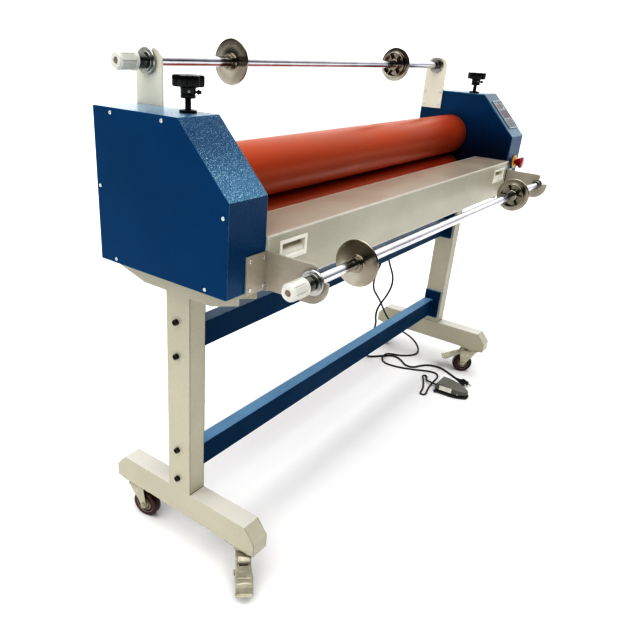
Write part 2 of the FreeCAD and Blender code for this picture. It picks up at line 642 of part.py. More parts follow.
def on_slope(shape):
    """Place a shape drawn with +Y up the slope and +Z out of it, from the lower crease."""
    copy = shape.copy()
    copy.rotate(V(0, 0, 0), V(1, 0, 0), SLOPE_DEG)
    copy.translate(V(0, HOUSING_FRONT, SLOPE_BOTTOM_Z))
    return copy


def control_panel():
    panel = box(PANEL_X0, PANEL_X1, PANEL_S0, PANEL_S1, 0, PANEL_T)
    panel = panel.makeFillet(0.8, [e for e in panel.Edges if abs(e.BoundBox.ZMin - PANEL_T) < 1e-6])
    for x in (STOP_KEY_X, START_KEY_X):
        panel = panel.cut(cyl_z(-1, PANEL_T + 1, x, KEY_S, KEY_R + CLEARANCE))
    display = box(741, 797, 42, 66, PANEL_T - 1.0, PANEL_T + 1)
    panel = panel.cut(display)
    return on_slope(panel)


def panel_key(x):
    key = cyl_z(1.2, PANEL_T + 1.2, x, KEY_S, KEY_R)
    key = key.makeFillet(0.8, [e for e in key.Edges if abs(e.BoundBox.ZMin - PANEL_T - 1.2) < 1e-6
                               and e.Length > KEY_R])
    return on_slope(key)


def stop_body():
    """Yellow collar, threaded barrel and contact block of the emergency stop."""
    face = HOUSING_FRONT
    body = cyl_y(face - 5, face, STOP_X, STOP_Z, 23.6)
    body = body.makeFillet(2.0, [e for e in body.Edges if abs(e.BoundBox.YMax - face + 5) < 1e-6
                                 and e.Length > 23])
    body = body.fuse(cyl_y(face, face + 26, STOP_X, STOP_Z, 10.8))
    body = body.fuse(box(STOP_X - 15, STOP_X + 15, face + 26, face + 62, STOP_Z - 20, STOP_Z + 20))
    return body.cut(cyl_y(face - 6, face + 18, STOP_X, STOP_Z, 8 + CLEARANCE)).removeSplitter()


def stop_head():
    """Red mushroom, turned about its push axis."""
    face = HOUSING_FRONT
    outline = [(0, 12), (8, 12), (8, -10), (12, -12), (15, -20), (20, -25), (20, -29),
               (17, -32), (10, -33.2), (0, -33.5)]
    points = [V(STOP_X + r, face + dy, STOP_Z) for r, dy in outline]
    turned_face = Part.Face(Part.makePolygon(points + points[:1]))
    return turned_face.revolve(V(STOP_X, face, STOP_Z), V(0, 1, 0), 360)


# ---------------------------------------------------------------- film rods and their brackets
def front_arm_outline(x):
    """Outline of the front hook: an open slot that slopes down to the rod's seat."""
    ry, rz = FRONT_ROD
    d = SEAT_R / math.sqrt(2)
    nose_r = 8.5
    top = 829.0
    nose_z = top - nose_r
    nose_y = ry + rz + 2 * d + nose_r * math.sqrt(2) - nose_z
    jaw_y = -240.0
    jaw_r = 42.0
    jaw_z = 750.0 + jaw_r
    tip_z = 800.0
    tip_in = ry + rz - 2 * d - tip_z
    cut = nose_r / math.sqrt(2)

    def p(y, z):
        return V(x, y, z)

    edges = [
        Part.LineSegment(p(HOUSING_FRONT, 750), p(jaw_y, 750)),
        Part.Arc(p(jaw_y, 750), p(jaw_y - jaw_r * 0.70710678, jaw_z - jaw_r * 0.70710678),
                 p(jaw_y - jaw_r, jaw_z)),
        Part.LineSegment(p(jaw_y - jaw_r, jaw_z), p(jaw_y - jaw_r, tip_z)),
        Part.LineSegment(p(jaw_y - jaw_r, tip_z), p(tip_in, tip_z)),
        Part.LineSegment(p(tip_in, tip_z), p(ry - d, rz - d)),
        Part.Arc(p(ry - d, rz - d), p(ry + d, rz - d), p(ry + d, rz + d)),
        Part.LineSegment(p(ry + d, rz + d), p(nose_y - cut, nose_z - cut)),
        Part.Arc(p(nose_y - cut, nose_z - cut), p(nose_y - nose_r, nose_z), p(nose_y, top)),
        Part.LineSegment(p(nose_y, top), p(HOUSING_FRONT, top)),
        Part.LineSegment(p(HOUSING_FRONT, top), p(HOUSING_FRONT, 750)),
    ]
    return Part.Face(Part.Wire([e.toShape() for e in edges]))


def front_bracket():
    """Bent plate: a flange screwed to the housing's front and a hook that reaches forwards."""
    x0 = INNER_X - PLATE_T
    arm = front_arm_outline(x0).extrude(V(PLATE_T, 0, 0))
    flange = box(x0, 761, HOUSING_FRONT - PLATE_T, HOUSING_FRONT, 750, 829)
    bracket = arm.fuse(flange)
    for x in BRACKET_SCREW_X:
        for z in BRACKET_SCREW_Z:
            bracket = bracket.cut(cyl_y(HOUSING_FRONT - 9, HOUSING_FRONT + 1, x, z, SCREW_HOLE_R))
    return bracket.removeSplitter()


def rear_bracket():
    """Upright plate on the side frame's inner face, with a slot open at the top."""
    ry, rz = TOP_ROD
    half_w = 38.0
    top = 1178.0
    x0 = INNER_X - PLATE_T
    plate = box(x0, INNER_X, ry - half_w, ry + half_w, 1008, top)
    corners = [e for e in plate.Edges if abs(e.BoundBox.ZMin - top) < 1e-6 and abs(e.Length - PLATE_T) < 1e-6]
    plate = plate.makeFillet(25.0, corners)
    plate = plate.cut(cyl_x(x0 - 1, INNER_X + 1, ry, rz, SEAT_R))
    plate = plate.cut(box(x0 - 1, INNER_X + 1, ry - SEAT_R, ry + SEAT_R, rz, top + 1))
    for y in REAR_SCREW_Y:
        for z in REAR_SCREW_Z:
            plate = plate.cut(cyl_x(x0 - 1, INNER_X + 1, y, z, SCREW_HOLE_R))
    return plate


ROD_LEFT = -779.0
ROD_RIGHT = 706.0
NUT_X0 = -786.0
NUT_X1 = -738.0
DISC_R = 50.0
PLUG_R = 37.5


def film_rod(y, z):
    """Chromed tube that carries a roll of film."""
    rod = cyl_x(ROD_LEFT, ROD_RIGHT, y, z, ROD_R)
    return rod.cut(cyl_x(ROD_LEFT - 1, ROD_RIGHT + 1, y, z, ROD_R - 2.5))


def rod_bearings(y, z, hub_plate):
    """Brake washers and spring outside the left bracket, bush and washer at the right one."""
    bore = ROD_R + CLEARANCE
    plate_out = -INNER_X - CLEARANCE
    pieces = [ring_x(plate_out - 5, plate_out, y, z, 24, bore),
              ring_x(plate_out - 9, plate_out - 6, y, z, 26, bore),
              ring_x(plate_out - 12, plate_out - 9, y, z, 20, bore),
              ring_x(NUT_X1 + CLEARANCE, plate_out - 12, y, z, 15, 12.4)]
    inner = INNER_X - PLATE_T - CLEARANCE
    pieces.append(ring_x(inner - 26, inner - 4, y, z, 14.5, bore))
    pieces.append(ring_x(inner - 4, inner, y, z, hub_plate, bore))
    pieces.append(ring_x(-inner, -inner + 4, y, z, 17, bore))
    whole = pieces[0].fuse(pieces[1]).fuse(pieces[2])
    right = pieces[4].fuse(pieces[5]).removeSplitter()
    return [whole.removeSplitter(), pieces[3], right, pieces[6]]


def tension_nut(y, z):
    """White fluted nut on the rod's left end, with a stepped outer face."""
    nut = cyl_x(NUT_X0 + 6, NUT_X1, y, z, 18.5)
    nose = Part.makeCone(15.0, 18.5, 6, V(NUT_X0, y, z), V(1, 0, 0))
    nut = nut.fuse(nose)
    flutes = 8
    for i in range(flutes):
        a = 2 * math.pi * i / flutes
        nut = nut.cut(cyl_x(NUT_X0 - 1, NUT_X1 - 8, y + 20.5 * math.cos(a), z + 20.5 * math.sin(a), 4.0))
    nut = nut.cut(cyl_x(ROD_LEFT - CLEARANCE, NUT_X1 + 1, y, z, ROD_R + CLEARANCE))
    return nut.cut(cyl_x(NUT_X0 - 1, ROD_LEFT + 1, y, z, 6.5)).removeSplitter()


def core_disc(x, y, z, inward):
    """Flange with a ribbed plug that enters the film's core; inward is the plug's direction along X."""
    def span(a, b):
        lo = x + inward * a
        hi = x + inward * b
        return min(lo, hi), max(lo, hi)

    bore = ROD_R + CLEARANCE
    disc = cyl_x(*span(0, 5), y, z, DISC_R)
    disc = disc.makeFillet(1.5, [e for e in disc.Edges if abs(e.Length - 2 * math.pi * DISC_R) < 1])
    rim = cyl_x(*span(5, 20), y, z, PLUG_R).cut(cyl_x(*span(4, 21), y, z, PLUG_R - 3.5))
    hub = cyl_x(*span(-12, 20), y, z, 17)
    disc = disc.fuse(rim).fuse(hub)
    lo, hi = span(5, 18)
    for i in range(6):
        rib = box(lo, hi, y + 10, y + PLUG_R - 1, z - 1.5, z + 1.5)
        rib.rotate(V(x, y, z), V(1, 0, 0), 60 * i + 30)
        disc = disc.fuse(rib)
    disc = disc.cut(cyl_x(x - 40, x + 40, y, z, bore)).removeSplitter()
    return disc


# ---------------------------------------------------------------- foot pedal
PEDAL_X = 508.0
PEDAL_REAR = -108.0
PEDAL_NOSE = -224.0
PEDAL_PIVOT = (-196.0, 14.0)


def pedal_face(grow, z):
    """Plan outline: straight at the rear, bulging sides, rounded nose."""
    half = 38.0 + grow
    rear = PEDAL_REAR + grow
    nose = PEDAL_NOSE - grow
    middle = 0.43 * rear + 0.57 * nose

    def p(x, y):
        return V(PEDAL_X + x, y, z)

    edges = [
        Part.LineSegment(p(-half, rear), p(half, rear)),
        Part.Arc(p(half, rear), p(half - 3, middle), p(14 + grow, nose + 4)),
        Part.Arc(p(14 + grow, nose + 4), p(0, nose), p(-14 - grow, nose + 4)),
        Part.Arc(p(-14 - grow, nose + 4), p(-half + 3, middle), p(-half, rear)),
    ]
    return Part.Face(Part.Wire([e.toShape() for e in edges]))


def pedal_base():
    """Dark rubber-edged base with the switch box and the lead's entry."""
    base = pedal_face(3.0, 0).extrude(V(0, 0, 8))
    inner = pedal_face(-6.0, 8).extrude(V(0, 0, 1))
    base = base.fuse(inner)
    entry = cyl_y(PEDAL_REAR - 14, -92.5, PEDAL_X, 11, 5.5)
    lug = cyl_x(PEDAL_X - 47, PEDAL_X - 30, PEDAL_REAR - 5, 4.8, 4.0)
    pin_y, pin_z = PEDAL_PIVOT
    post = box(PEDAL_X - 12, PEDAL_X + 12, pin_y - 6, pin_y + 6, 8, pin_z + 5)
    pin = cyl_x(PEDAL_X - 34, PEDAL_X + 34, pin_y, pin_z, 3.0)
    base = base.fuse([entry, lug, post, pin])
    return base.removeSplitter()


def pedal_treadle():
    """Grey shell that rocks on the pin near its nose."""
    bottom = 13.5
    shell = pedal_face(0, bottom).extrude(V(0, 0, 40))
    slope = [(PEDAL_REAR + 5, 39), (PEDAL_REAR - 30, 39), (PEDAL_NOSE + 4, 27), (PEDAL_NOSE - 10, 22),
             (PEDAL_NOSE - 10, 80),
             (PEDAL_REAR + 5, 80)]
    shell = shell.cut(prism_x(slope, PEDAL_X - 80, PEDAL_X + 80))
    hollow = pedal_face(-3.0, bottom - 1).extrude(V(0, 0, 40))
    slope_in = [(y, z - 3) for y, z in slope]
    hollow = hollow.cut(prism_x(slope_in, PEDAL_X - 80, PEDAL_X + 80))
    shell = shell.cut(hollow)
    pin_y, pin_z = PEDAL_PIVOT
    for side in (-1, 1):
        x = PEDAL_X + side * 27
        shell = shell.fuse(box(x - 3, x + 3, pin_y - 7, pin_y + 7, bottom, 27))
    shell = shell.cut(cyl_x(PEDAL_X - 60, PEDAL_X + 60, pin_y, pin_z, 3.0 + CLEARANCE))
    entry_gap = box(PEDAL_X - 8, PEDAL_X + 8, PEDAL_REAR - 14, PEDAL_REAR + 4, bottom - 1, 24)
    return shell.cut(entry_gap).removeSplitter()


# ---------------------------------------------------------------- leads
MAINS_R = 3.5
PEDAL_R = 3.2

MAINS_ROUTE = [
    (671, 210, 775), (646, 210, 773), (617, 210, 762), (589, 211, 741), (566, 212, 708), (552, 212, 668),
    (545, 213, 620), (544, 213, 570), (549, 213, 520), (560, 213, 474), (578, 213, 434), (601, 213, 402),
    (624, 213, 372), (641, 213, 343), (643, 213, 312), (625, 213, 288), (599, 213, 270), (572, 213, 257),
    (546, 213, 244), (530, 213, 224), (530, 213, 198), (544, 215, 173), (549, 219, 146), (542, 226, 117),
    (532, 237, 88), (526, 246, 61), (526, 249, 36), (535, 243, 15), (552, 228, 3.5), (577, 207, 3.5),
    (605, 185, 3.5), (628, 166, 3.5), (634, 141, 3.5), (621, 114, 3.5), (604, 95, 3.5), (590, 77, 3.5),
    (588, 55, 3.5), (601, 38, 3.5), (624, 29, 3.5), (648, 15, 3.5), (665, -7, 3.5), (671, -34, 3.5),
    (665, -62, 3.5), (651, -88, 3.5), (637, -112, 3.5), (626, -134, 3.5),
]
PEDAL_ROUTE = [
    (671, 186, 775), (646, 186, 772), (621, 187, 756), (601, 188, 728), (584, 189, 692), (568, 190, 649),
    (552, 191, 603), (535, 192, 557), (515, 193, 513), (492, 195, 471), (467, 196, 435), (446, 196, 406),
    (436, 196, 376), (447, 196, 347), (472, 196, 322), (502, 196, 294), (532, 196, 262), (558, 195, 229),
    (583, 192, 197), (607, 183, 167), (635, 167, 140), (666, 154, 114), (700, 146, 91), (732, 138, 69),
    (753, 124, 47), (759, 108, 27), (751, 95, 13), (733, 89, 5.5), (710, 92, 3.2), (688, 103, 3.2),
    (668, 121, 3.2), (653, 143, 3.2), (641, 163, 5.5), (622, 176, 11.8), (599, 181, 12.2), (577, 180, 8),
    (557, 168, 3.5), (546, 145, 3.2), (547, 117, 3.2), (554, 87, 3.2), (564, 60, 3.2), (577, 34, 3.2),
    (590, 10, 3.2), (605, -15, 3.2), (614, -40, 3.2), (606, -61, 3.2), (584, -71, 3.2), (553, -73, 3.2),
    (519, -75, 3.2), (484, -79, 3.2), (453, -85, 3.2), (431, -92, 3.2), (419, -92, 3.2), (411, -86, 3.2),
    (411, -77, 3.2), (420, -72, 3.2), (440, -69, 3.2), (470, -61, 3.2), (503, -47, 3.2), (530, -33, 3.2),
    (546, -23, 3.2), (556, -19, 3.2), (563, -23, 3.2), (563, -31, 3.2), (556, -36, 3.4), (541, -42, 4),
    (527, -49, 6), (517, -60, 9), (512, -71, 11.3), (509, -82, 11.4), (508, -92, 11),
]


def arc_radius(before, corner, after):
    """Radius of the tangent arc at a corner: 0.45 of the shorter run over tan(half the turn)."""
    u = corner.sub(before)
    w = after.sub(corner)
    turn = u.getAngle(w)
    run = min(u.Length, w.Length)
    return 0.45 * run / math.tan(turn / 2), turn, run


def lead(name, route, radius):
    """Round tube along straight runs joined by tangent arcs."""
    points = [V(*p) for p in route]
    edges = []
    last = points[0]
    smallest = []
    length = 0.0
    for before, corner, after in zip(points, points[1:], points[2:]):
        r, turn, run = arc_radius(before, corner, after)
        smallest.append((round(r, 1), round(math.degrees(turn))))
        u = (corner - before).normalize()
        w = (after - corner).normalize()
        start = corner - u * (0.45 * run)
        end = corner + w * (0.45 * run)
        bisector = (w - u).normalize()
        centre = corner + bisector * (r / math.cos(turn / 2))
        middle = centre - bisector * r
        edges.append(Part.LineSegment(last, start).toShape())
        edges.append(Part.Arc(start, middle, end).toShape())
        length += (start - last).Length + r * turn
        last = end
    edges.append(Part.LineSegment(last, points[-1]).toShape())
    length += (points[-1] - last).Length
    wire = Part.Wire(edges)
    start_dir = (points[1] - points[0]).normalize()
    ring = Part.Wire(Part.makeCircle(radius, points[0], start_dir))
    tube = wire.makePipeShell([ring], True, True)
    expected = math.pi * radius * radius * length
    print(name, "length", round(length), "mm, radii", smallest)
    print(name, "volume over section times length", round(tube.Volume / expected, 3))
    return tube


def cable_glands():
    """Strain reliefs on the right side frame: hexagon, dome and a tapered tail."""
    glands = []
    for (y, z), r in zip(GLANDS, (MAINS_R, PEDAL_R)):
        hexagon = Part.Face(Part.makePolygon([V(INNER_X - 6, y + 10 * math.cos(math.radians(60 * i)),
                                                z + 10 * math.sin(math.radians(60 * i))) for i in range(7)]))
        gland = hexagon.extrude(V(6, 0, 0))
        gland = gland.fuse(cyl_x(INNER_X - 12, INNER_X - 6, y, z, 8.0))
        tail = Part.makeCone(r + 1.3, 6.5, 17.6, V(671.4, y, z), V(1, 0, 0))
        gland = gland.fuse(tail).fuse(cyl_x(INNER_X, INNER_X + FRAME_T + 4, y, z, 5.8))
        gland = gland.fuse(cyl_x(INNER_X + FRAME_T, INNER_X + FRAME_T + 4, y, z, 9.0))
        glands.append(gland.removeSplitter())
    return glands


def mains_plug():
    """Moulded plug with its tapered relief, lying on the floor; two round pins."""
    x, y, z = MAINS_ROUTE[-1]
    axis = (V(*MAINS_ROUTE[-1]) - V(*MAINS_ROUTE[-2])).normalize()
    start = V(x, y, z)
    lift = V(0, 0, 1)
    relief = Part.makeCone(MAINS_R, 6.0, 24, start, axis)
    side = axis.cross(lift)
    body_start = start + axis * 24
    body = box(0, 32, -13, 13, 0, 17)
    body = body.makeFillet(5.0, [e for e in body.Edges if abs(e.BoundBox.XMax - e.BoundBox.XMin) > 30])
    placement = FreeCAD.Matrix(axis.x, side.x, lift.x, body_start.x,
                               axis.y, side.y, lift.y, body_start.y,
                               axis.z, side.z, lift.z, 0.0,
                               0, 0, 0, 1)
    body = body.transformGeometry(placement)
    neck = Part.makeCylinder(7.0, 6, start + axis * 20 + V(0, 0, 3.6), axis)
    neck = neck.common(Part.makeBox(200, 200, 60, V(x - 100, y - 100, 0)))
    plug = body.fuse(relief.common(Part.makeBox(200, 200, 60, V(x - 100, y - 100, 0)))).fuse(neck)
    for s in (-1, 1):
        pin_start = body_start + axis * 31 + side * (9.5 * s) + V(0, 0, 8.5)
        plug = plug.fuse(Part.makeCylinder(2.4, 20, pin_start, axis))
    return plug.removeSplitter()


# ---------------------------------------------------------------- build every node
foot = foot_beam()
save("foot_beams", foot, mirrored(foot))
both_sides("right_column", "left_column", column())
save("upper_crossbeam", crossbeam(UPPER_BEAM_Z, 62.0))
save("lower_crossbeam", crossbeam(LOWER_BEAM_Z, 64.0))
save("crossbeam_bolts", *crossbeam_bolts())
save("caster_plates", *[caster_plate(x, y) for x, y, _, _ in CASTERS.values()])
for name, (_, _, _, braked) in CASTERS.items():
    fork_pieces = [caster_fork(braked)] + caster_axle(braked)
    save(name + "_caster_fork", *[placed_caster(piece, name) for piece in fork_pieces])
    save(name + "_wheel", placed_caster(caster_wheel(), name))
    if braked:
        save(name + "_brake_pedal", placed_caster(brake_pedal(braked == "released"), name))

save("right_side_frame", side_frame(True), lower_bearing())
save("left_side_frame", mirrored(side_frame(False)), mirrored(lower_bearing()))
save("right_housing_cover", housing_band(True))
save("left_housing_cover", mirrored(housing_band(False)))
panel_shape = end_panel()
save("end_panels", panel_shape, mirrored(panel_shape))
save("cover_screws", *cover_screws())
save("tie_bars", *tie_bars())
save("feed_table", feed_table())
save("table_grips", *table_grips())

save("lower_roller_cover", roller_cover(LOWER_Z))
lower_core = roller_core(LOWER_Z, CHAIN_X0 + CHAIN_W + 3)
save("lower_roller_core", lower_core.fuse(sprocket(ROLLER_Y, LOWER_Z, ROLLER_TEETH, JOURNAL_R)).removeSplitter())
save("upper_roller_cover", roller_cover(UPPER_Z))
save("upper_roller_core", roller_core(UPPER_Z, BLOCK_X1))
block = bearing_block()
save("upper_bearing_blocks", block, mirrored(block))
save("drive_motor", drive_motor())
save("motor_sprocket", motor_sprocket())
save("drive_chain", drive_chain())
bush = pressure_bush()
save("pressure_bushes", bush, mirrored(bush))
wheel_pieces = [handwheel(), pressure_screw()]
save("right_handwheel", *wheel_pieces)
save("left_handwheel", *[mirrored(piece) for piece in wheel_pieces])

save("control_panel", control_panel())
save("stop_key", panel_key(STOP_KEY_X))
save("start_key", panel_key(START_KEY_X))
save("emergency_stop_body", stop_body())
save("emergency_stop_head", stop_head())

front = front_bracket()
save("front_rod_brackets", front, mirrored(front))
rear = rear_bracket()
save("top_rod_brackets", rear, mirrored(rear))
for name, (rod_y, rod_z), left_x, right_x, hub_plate in (("front", FRONT_ROD, -545.0, 441.0, 17.0),
                                                         ("top", TOP_ROD, -448.0, 374.0, 26.0)):
    save(name + "_rod", film_rod(rod_y, rod_z))
    save(name + "_rod_bearings", *rod_bearings(rod_y, rod_z, hub_plate))
    save(name + "_tension_nut", tension_nut(rod_y, rod_z))
    save(name + "_left_core_disc", core_disc(left_x, rod_y, rod_z, 1))
    save(name + "_right_core_disc", core_disc(right_x, rod_y, rod_z, -1))

save("pedal_base", pedal_base())
save("pedal_treadle", pedal_treadle())
save("cable_glands", *cable_glands())
save("mains_lead", lead("mains_lead", MAINS_ROUTE, MAINS_R))
save("pedal_lead", lead("pedal_lead", PEDAL_ROUTE, PEDAL_R))
save("mains_plug", mains_plug())
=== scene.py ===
"""Cold roll laminator on a wheeled stand, dressed for rendering.

Metres, X along the rollers, -Y the operator's side, +Z up, origin on the floor.
The mechanical frame comes from the CAD model. This script adds the camera, the
two leads, finer versions of the small hardware, and every surface finish.
"""
import json
import math

import bmesh
import bpy
from mathutils import Matrix, Vector

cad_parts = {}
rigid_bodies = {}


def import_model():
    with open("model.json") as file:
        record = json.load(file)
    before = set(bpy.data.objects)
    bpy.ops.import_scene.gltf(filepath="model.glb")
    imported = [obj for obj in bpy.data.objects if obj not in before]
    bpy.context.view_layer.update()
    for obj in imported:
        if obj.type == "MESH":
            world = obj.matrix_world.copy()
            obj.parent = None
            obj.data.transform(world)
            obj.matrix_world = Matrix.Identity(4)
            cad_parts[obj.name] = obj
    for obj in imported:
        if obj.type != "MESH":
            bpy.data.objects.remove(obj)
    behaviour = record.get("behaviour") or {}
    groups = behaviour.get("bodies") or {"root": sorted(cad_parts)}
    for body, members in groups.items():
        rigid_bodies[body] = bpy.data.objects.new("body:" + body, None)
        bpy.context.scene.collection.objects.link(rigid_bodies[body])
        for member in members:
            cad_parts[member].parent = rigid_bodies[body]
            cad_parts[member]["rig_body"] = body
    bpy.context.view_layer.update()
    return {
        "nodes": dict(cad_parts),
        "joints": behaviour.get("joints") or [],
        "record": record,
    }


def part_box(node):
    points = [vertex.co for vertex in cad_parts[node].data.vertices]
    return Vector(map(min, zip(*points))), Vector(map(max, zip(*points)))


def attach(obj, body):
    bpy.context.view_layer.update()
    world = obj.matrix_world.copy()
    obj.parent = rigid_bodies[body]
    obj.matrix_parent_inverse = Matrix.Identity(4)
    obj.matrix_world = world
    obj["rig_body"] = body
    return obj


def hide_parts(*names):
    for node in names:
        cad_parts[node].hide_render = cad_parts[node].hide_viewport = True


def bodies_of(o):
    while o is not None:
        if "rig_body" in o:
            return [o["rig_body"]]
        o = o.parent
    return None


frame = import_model()
nodes = frame["nodes"]
MM = 0.001


def mm(*values):
    return Vector([v * MM for v in values])


def centre_of(node):
    low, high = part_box(node)
    return (low + high) / 2


def body_of(node):
    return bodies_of(nodes[node])[0]


# ------------------------------------------------------------------ camera
CAMERA_AT = Vector((-1.6485, -0.8463, 1.2018))
CAMERA_AZIMUTH = math.radians(53.4312)     # from +Y towards +X
CAMERA_ELEVATION = math.radians(25.2885)   # looking down
CAMERA_ROLL = math.radians(3.2424)


def make_camera():
    az, el, roll = CAMERA_AZIMUTH, CAMERA_ELEVATION, CAMERA_ROLL
    forward = Vector((math.sin(az) * math.cos(el), math.cos(az) * math.cos(el), -math.sin(el)))
    right = Vector((math.cos(az), -math.sin(az), 0.0))
    up = Vector((math.sin(az) * math.sin(el), math.cos(az) * math.sin(el), math.cos(el)))
    x_axis = right * math.cos(roll) + up * math.sin(roll)
    y_axis = up * math.cos(roll) - right * math.sin(roll)
    data = bpy.data.cameras.new("camera")
    data.sensor_width = 36.0
    data.lens = 35.337
    data.shift_x = 0.08536
    data.shift_y = 0.02782
    camera = bpy.data.objects.new("camera", data)
    bpy.context.scene.collection.objects.link(camera)
    axes = Matrix((x_axis, y_axis, -forward)).transposed().to_4x4()
    camera.matrix_world = Matrix.Translation(CAMERA_AT) @ axes
    bpy.context.scene.camera = camera


make_camera()


# ------------------------------------------------------------------ node materials
class Finish:
    """One procedural material. Colour, roughness and bump are worked out from the
    object's own coordinates; uniform values are set on the shader itself."""

    def __init__(self, name, metallic=0.0, specular=0.5, coat=0.0, coat_roughness=0.1):
        self.material = bpy.data.materials.new(name)
        self.material.use_nodes = True
        self.tree = self.material.node_tree
        self.tree.nodes.clear()
        output = self.tree.nodes.new("ShaderNodeOutputMaterial")
        self.shader = self.tree.nodes.new("ShaderNodeBsdfPrincipled")
        self.link(self.shader.outputs[0], output.inputs[0])
        for socket, value in (("Metallic", metallic), ("Specular IOR Level", specular),
                ("Coat Weight", coat), ("Coat Roughness", coat_roughness)):
            self.shader.inputs[socket].default_value = value
        self.coordinates = self.tree.nodes.new("ShaderNodeTexCoord").outputs["Object"]

    def link(self, a, b):
        self.tree.links.new(a, b)

    def node(self, kind, **settings):
        made = self.tree.nodes.new(kind)
        for key, value in settings.items():
            setattr(made, key, value)
        return made

    def put(self, socket, value):
        if isinstance(value, bpy.types.NodeSocket):
            self.link(value, socket)
        elif isinstance(value, tuple):
            socket.default_value = (*value, 1.0)
        else:
            socket.default_value = value

    def math(self, operation, a, b=0.0, c=0.0):
        made = self.node("ShaderNodeMath", operation=operation)
        for socket, value in zip(made.inputs, (a, b, c)):
            self.put(socket, value)
        return made.outputs[0]

    def times(self, a, b):
        return self.math("MULTIPLY", a, b)

    def split(self, vector=None):
        """The three components of a vector: of the object coordinates, if none is given."""
        parts = self.node("ShaderNodeSeparateXYZ")
        self.link(vector or self.coordinates, parts.inputs[0])
        return parts.outputs

    def tint(self, base, colour, mask, amount):
        return self.mix(self.times(mask, amount), base, colour)

    def noise(self, scale, detail=3.0, stretch=None, roughness=0.5):
        """Noise value about 0.5; stretch scales the three axes first."""
        made = self.node("ShaderNodeTexNoise")
        made.inputs["Scale"].default_value = scale
        made.inputs["Detail"].default_value = detail
        made.inputs["Roughness"].default_value = roughness
        where = self.coordinates
        if stretch:
            mapping = self.node("ShaderNodeMapping")
            mapping.inputs["Scale"].default_value = stretch
            self.link(where, mapping.inputs["Vector"])
            where = mapping.outputs[0]
        self.link(where, made.inputs["Vector"])
        return made.outputs[0]

    def cells(self, scale):
        made = self.node("ShaderNodeTexVoronoi", feature="SMOOTH_F1")
        made.inputs["Scale"].default_value = scale
        self.link(self.coordinates, made.inputs["Vector"])
        return made.outputs["Distance"]

    def span(self, value, low, high, out_low=0.0, out_high=1.0):
        """Smooth step from one range to another, clamped."""
        made = self.node("ShaderNodeMapRange", interpolation_type="SMOOTHSTEP")
        for socket, v in zip(made.inputs, (value, low, high, out_low, out_high)):
            self.put(socket, v)
        return made.outputs[0]

    def mix(self, factor, a, b):
        made = self.node("ShaderNodeMix", data_type="RGBA")
        self.put(made.inputs[0], factor)
        self.put(made.inputs[6], a)
        self.put(made.inputs[7], b)
        return made.outputs[2]

    def axis_radius(self, y=None, z=None):
        """Distance from the local Z axis, or from a line along X through (y, z)."""
        a, b, c = self.split()
        if y is not None:
            a = self.math("SUBTRACT", b, y)
            b = self.math("SUBTRACT", c, z)
        square = self.math("ADD", self.times(a, a), self.times(b, b))
        return self.math("SQRT", square)

    def edges(self, width):
        """Rounded normal, and a mask that is 1 along sharp edges."""
        bevel = self.node("ShaderNodeBevel", samples=4)
        bevel.inputs["Radius"].default_value = width
        geometry = self.node("ShaderNodeNewGeometry")
        dot = self.node("ShaderNodeVectorMath", operation="DOT_PRODUCT")
        self.link(bevel.outputs[0], dot.inputs[0])
        self.link(geometry.outputs["Normal"], dot.inputs[1])
        return bevel.outputs[0], self.span(dot.outputs["Value"], 0.995, 0.86)

    def upward(self, low=0.55, high=0.95):
        """1 on faces that look up; the finishes use it to paint light and shade onto top faces."""
        normal = self.node("ShaderNodeNewGeometry").outputs["Normal"]
        return self.span(self.split(normal)[2], low, high)

    def bump(self, height, distance, strength, normal=None):
        made = self.node("ShaderNodeBump")
        made.inputs["Strength"].default_value = strength
        made.inputs["Distance"].default_value = distance
        self.link(height, made.inputs["Height"])
        if normal is not None:
            self.link(normal, made.inputs["Normal"])
        return made.outputs[0]

    def finish(self, colour, roughness, normal=None):
        self.link(colour, self.shader.inputs["Base Color"])
        self.put(self.shader.inputs["Roughness"], roughness)
        if normal is not None:
            self.link(normal, self.shader.inputs["Normal"])
        return self.material


def scaled(colour, k):
    return tuple(min(1.0, c * k) for c in colour)


def coated(name, colour, roughness, mottle=0.08, mottle_scale=7.0, speck=0.0, speck_scale=420.0, bump=0.0,
        bump_scale=380.0, wear=None, wear_width=0.0012, wear_amount=0.6, dust=None, dust_amount=0.0,
        top=None, top_amount=0.6, wear_least=0.0, hollow=None, **shader):
    """Paint, powder coat or moulded plastic."""
    f = Finish(name, **shader)
    cloud = f.span(f.noise(mottle_scale, 4.0), 0.32, 0.68)
    base = f.mix(cloud, scaled(colour, 1.0 - mottle), scaled(colour, 1.0 + mottle))
    if speck:
        fleck = f.span(f.noise(speck_scale, 2.0), 0.42, 0.66)
        base = f.tint(base, scaled(colour, 2.2), fleck, speck)
    if dust:
        haze = f.span(f.noise(3.0, 5.0), 0.48, 0.72)
        base = f.tint(base, dust, haze, dust_amount)
    # Painted light on faces that look up: paler tops on beams, feet and pedal treadle, and a darker reddish
    # top on the feed table for the rollers' shade and reflection.
    if top:
        patchy = f.span(f.noise(9.0, 4.0), 0.3, 0.7, top_amount - 0.15, top_amount)
        base = f.tint(base, top, f.upward(), patchy)
    # Painted shade at the back of a recess: darker deeper in and higher up, on the table grips.
    if hollow:
        recess_shade_colour, near, far, below, above = hollow
        _, y, z = f.split()
        base = f.tint(base, recess_shade_colour, f.span(y, near, far), f.span(z, below, above))
    rounded, edge = f.edges(wear_width)
    # Colour along sharp edges, broken by noise: rubbed wear and a painted edge highlight; on the feed table
    # it is chiefly the painted highlight of its front edge.
    if wear:
        broken = f.times(edge, f.span(f.noise(60.0, 4.0), 0.38, 0.62, wear_least, 1.0))
        base = f.tint(base, wear, broken, wear_amount)
    normal = rounded
    if bump:
        grain = f.noise(bump_scale, 2.0)
        normal = f.bump(grain, 0.0006, bump, rounded)
    patch = f.span(f.noise(11.0, 4.0), 0.3, 0.7, roughness - 0.05, roughness + 0.06)
    return f.finish(base, patch, normal)


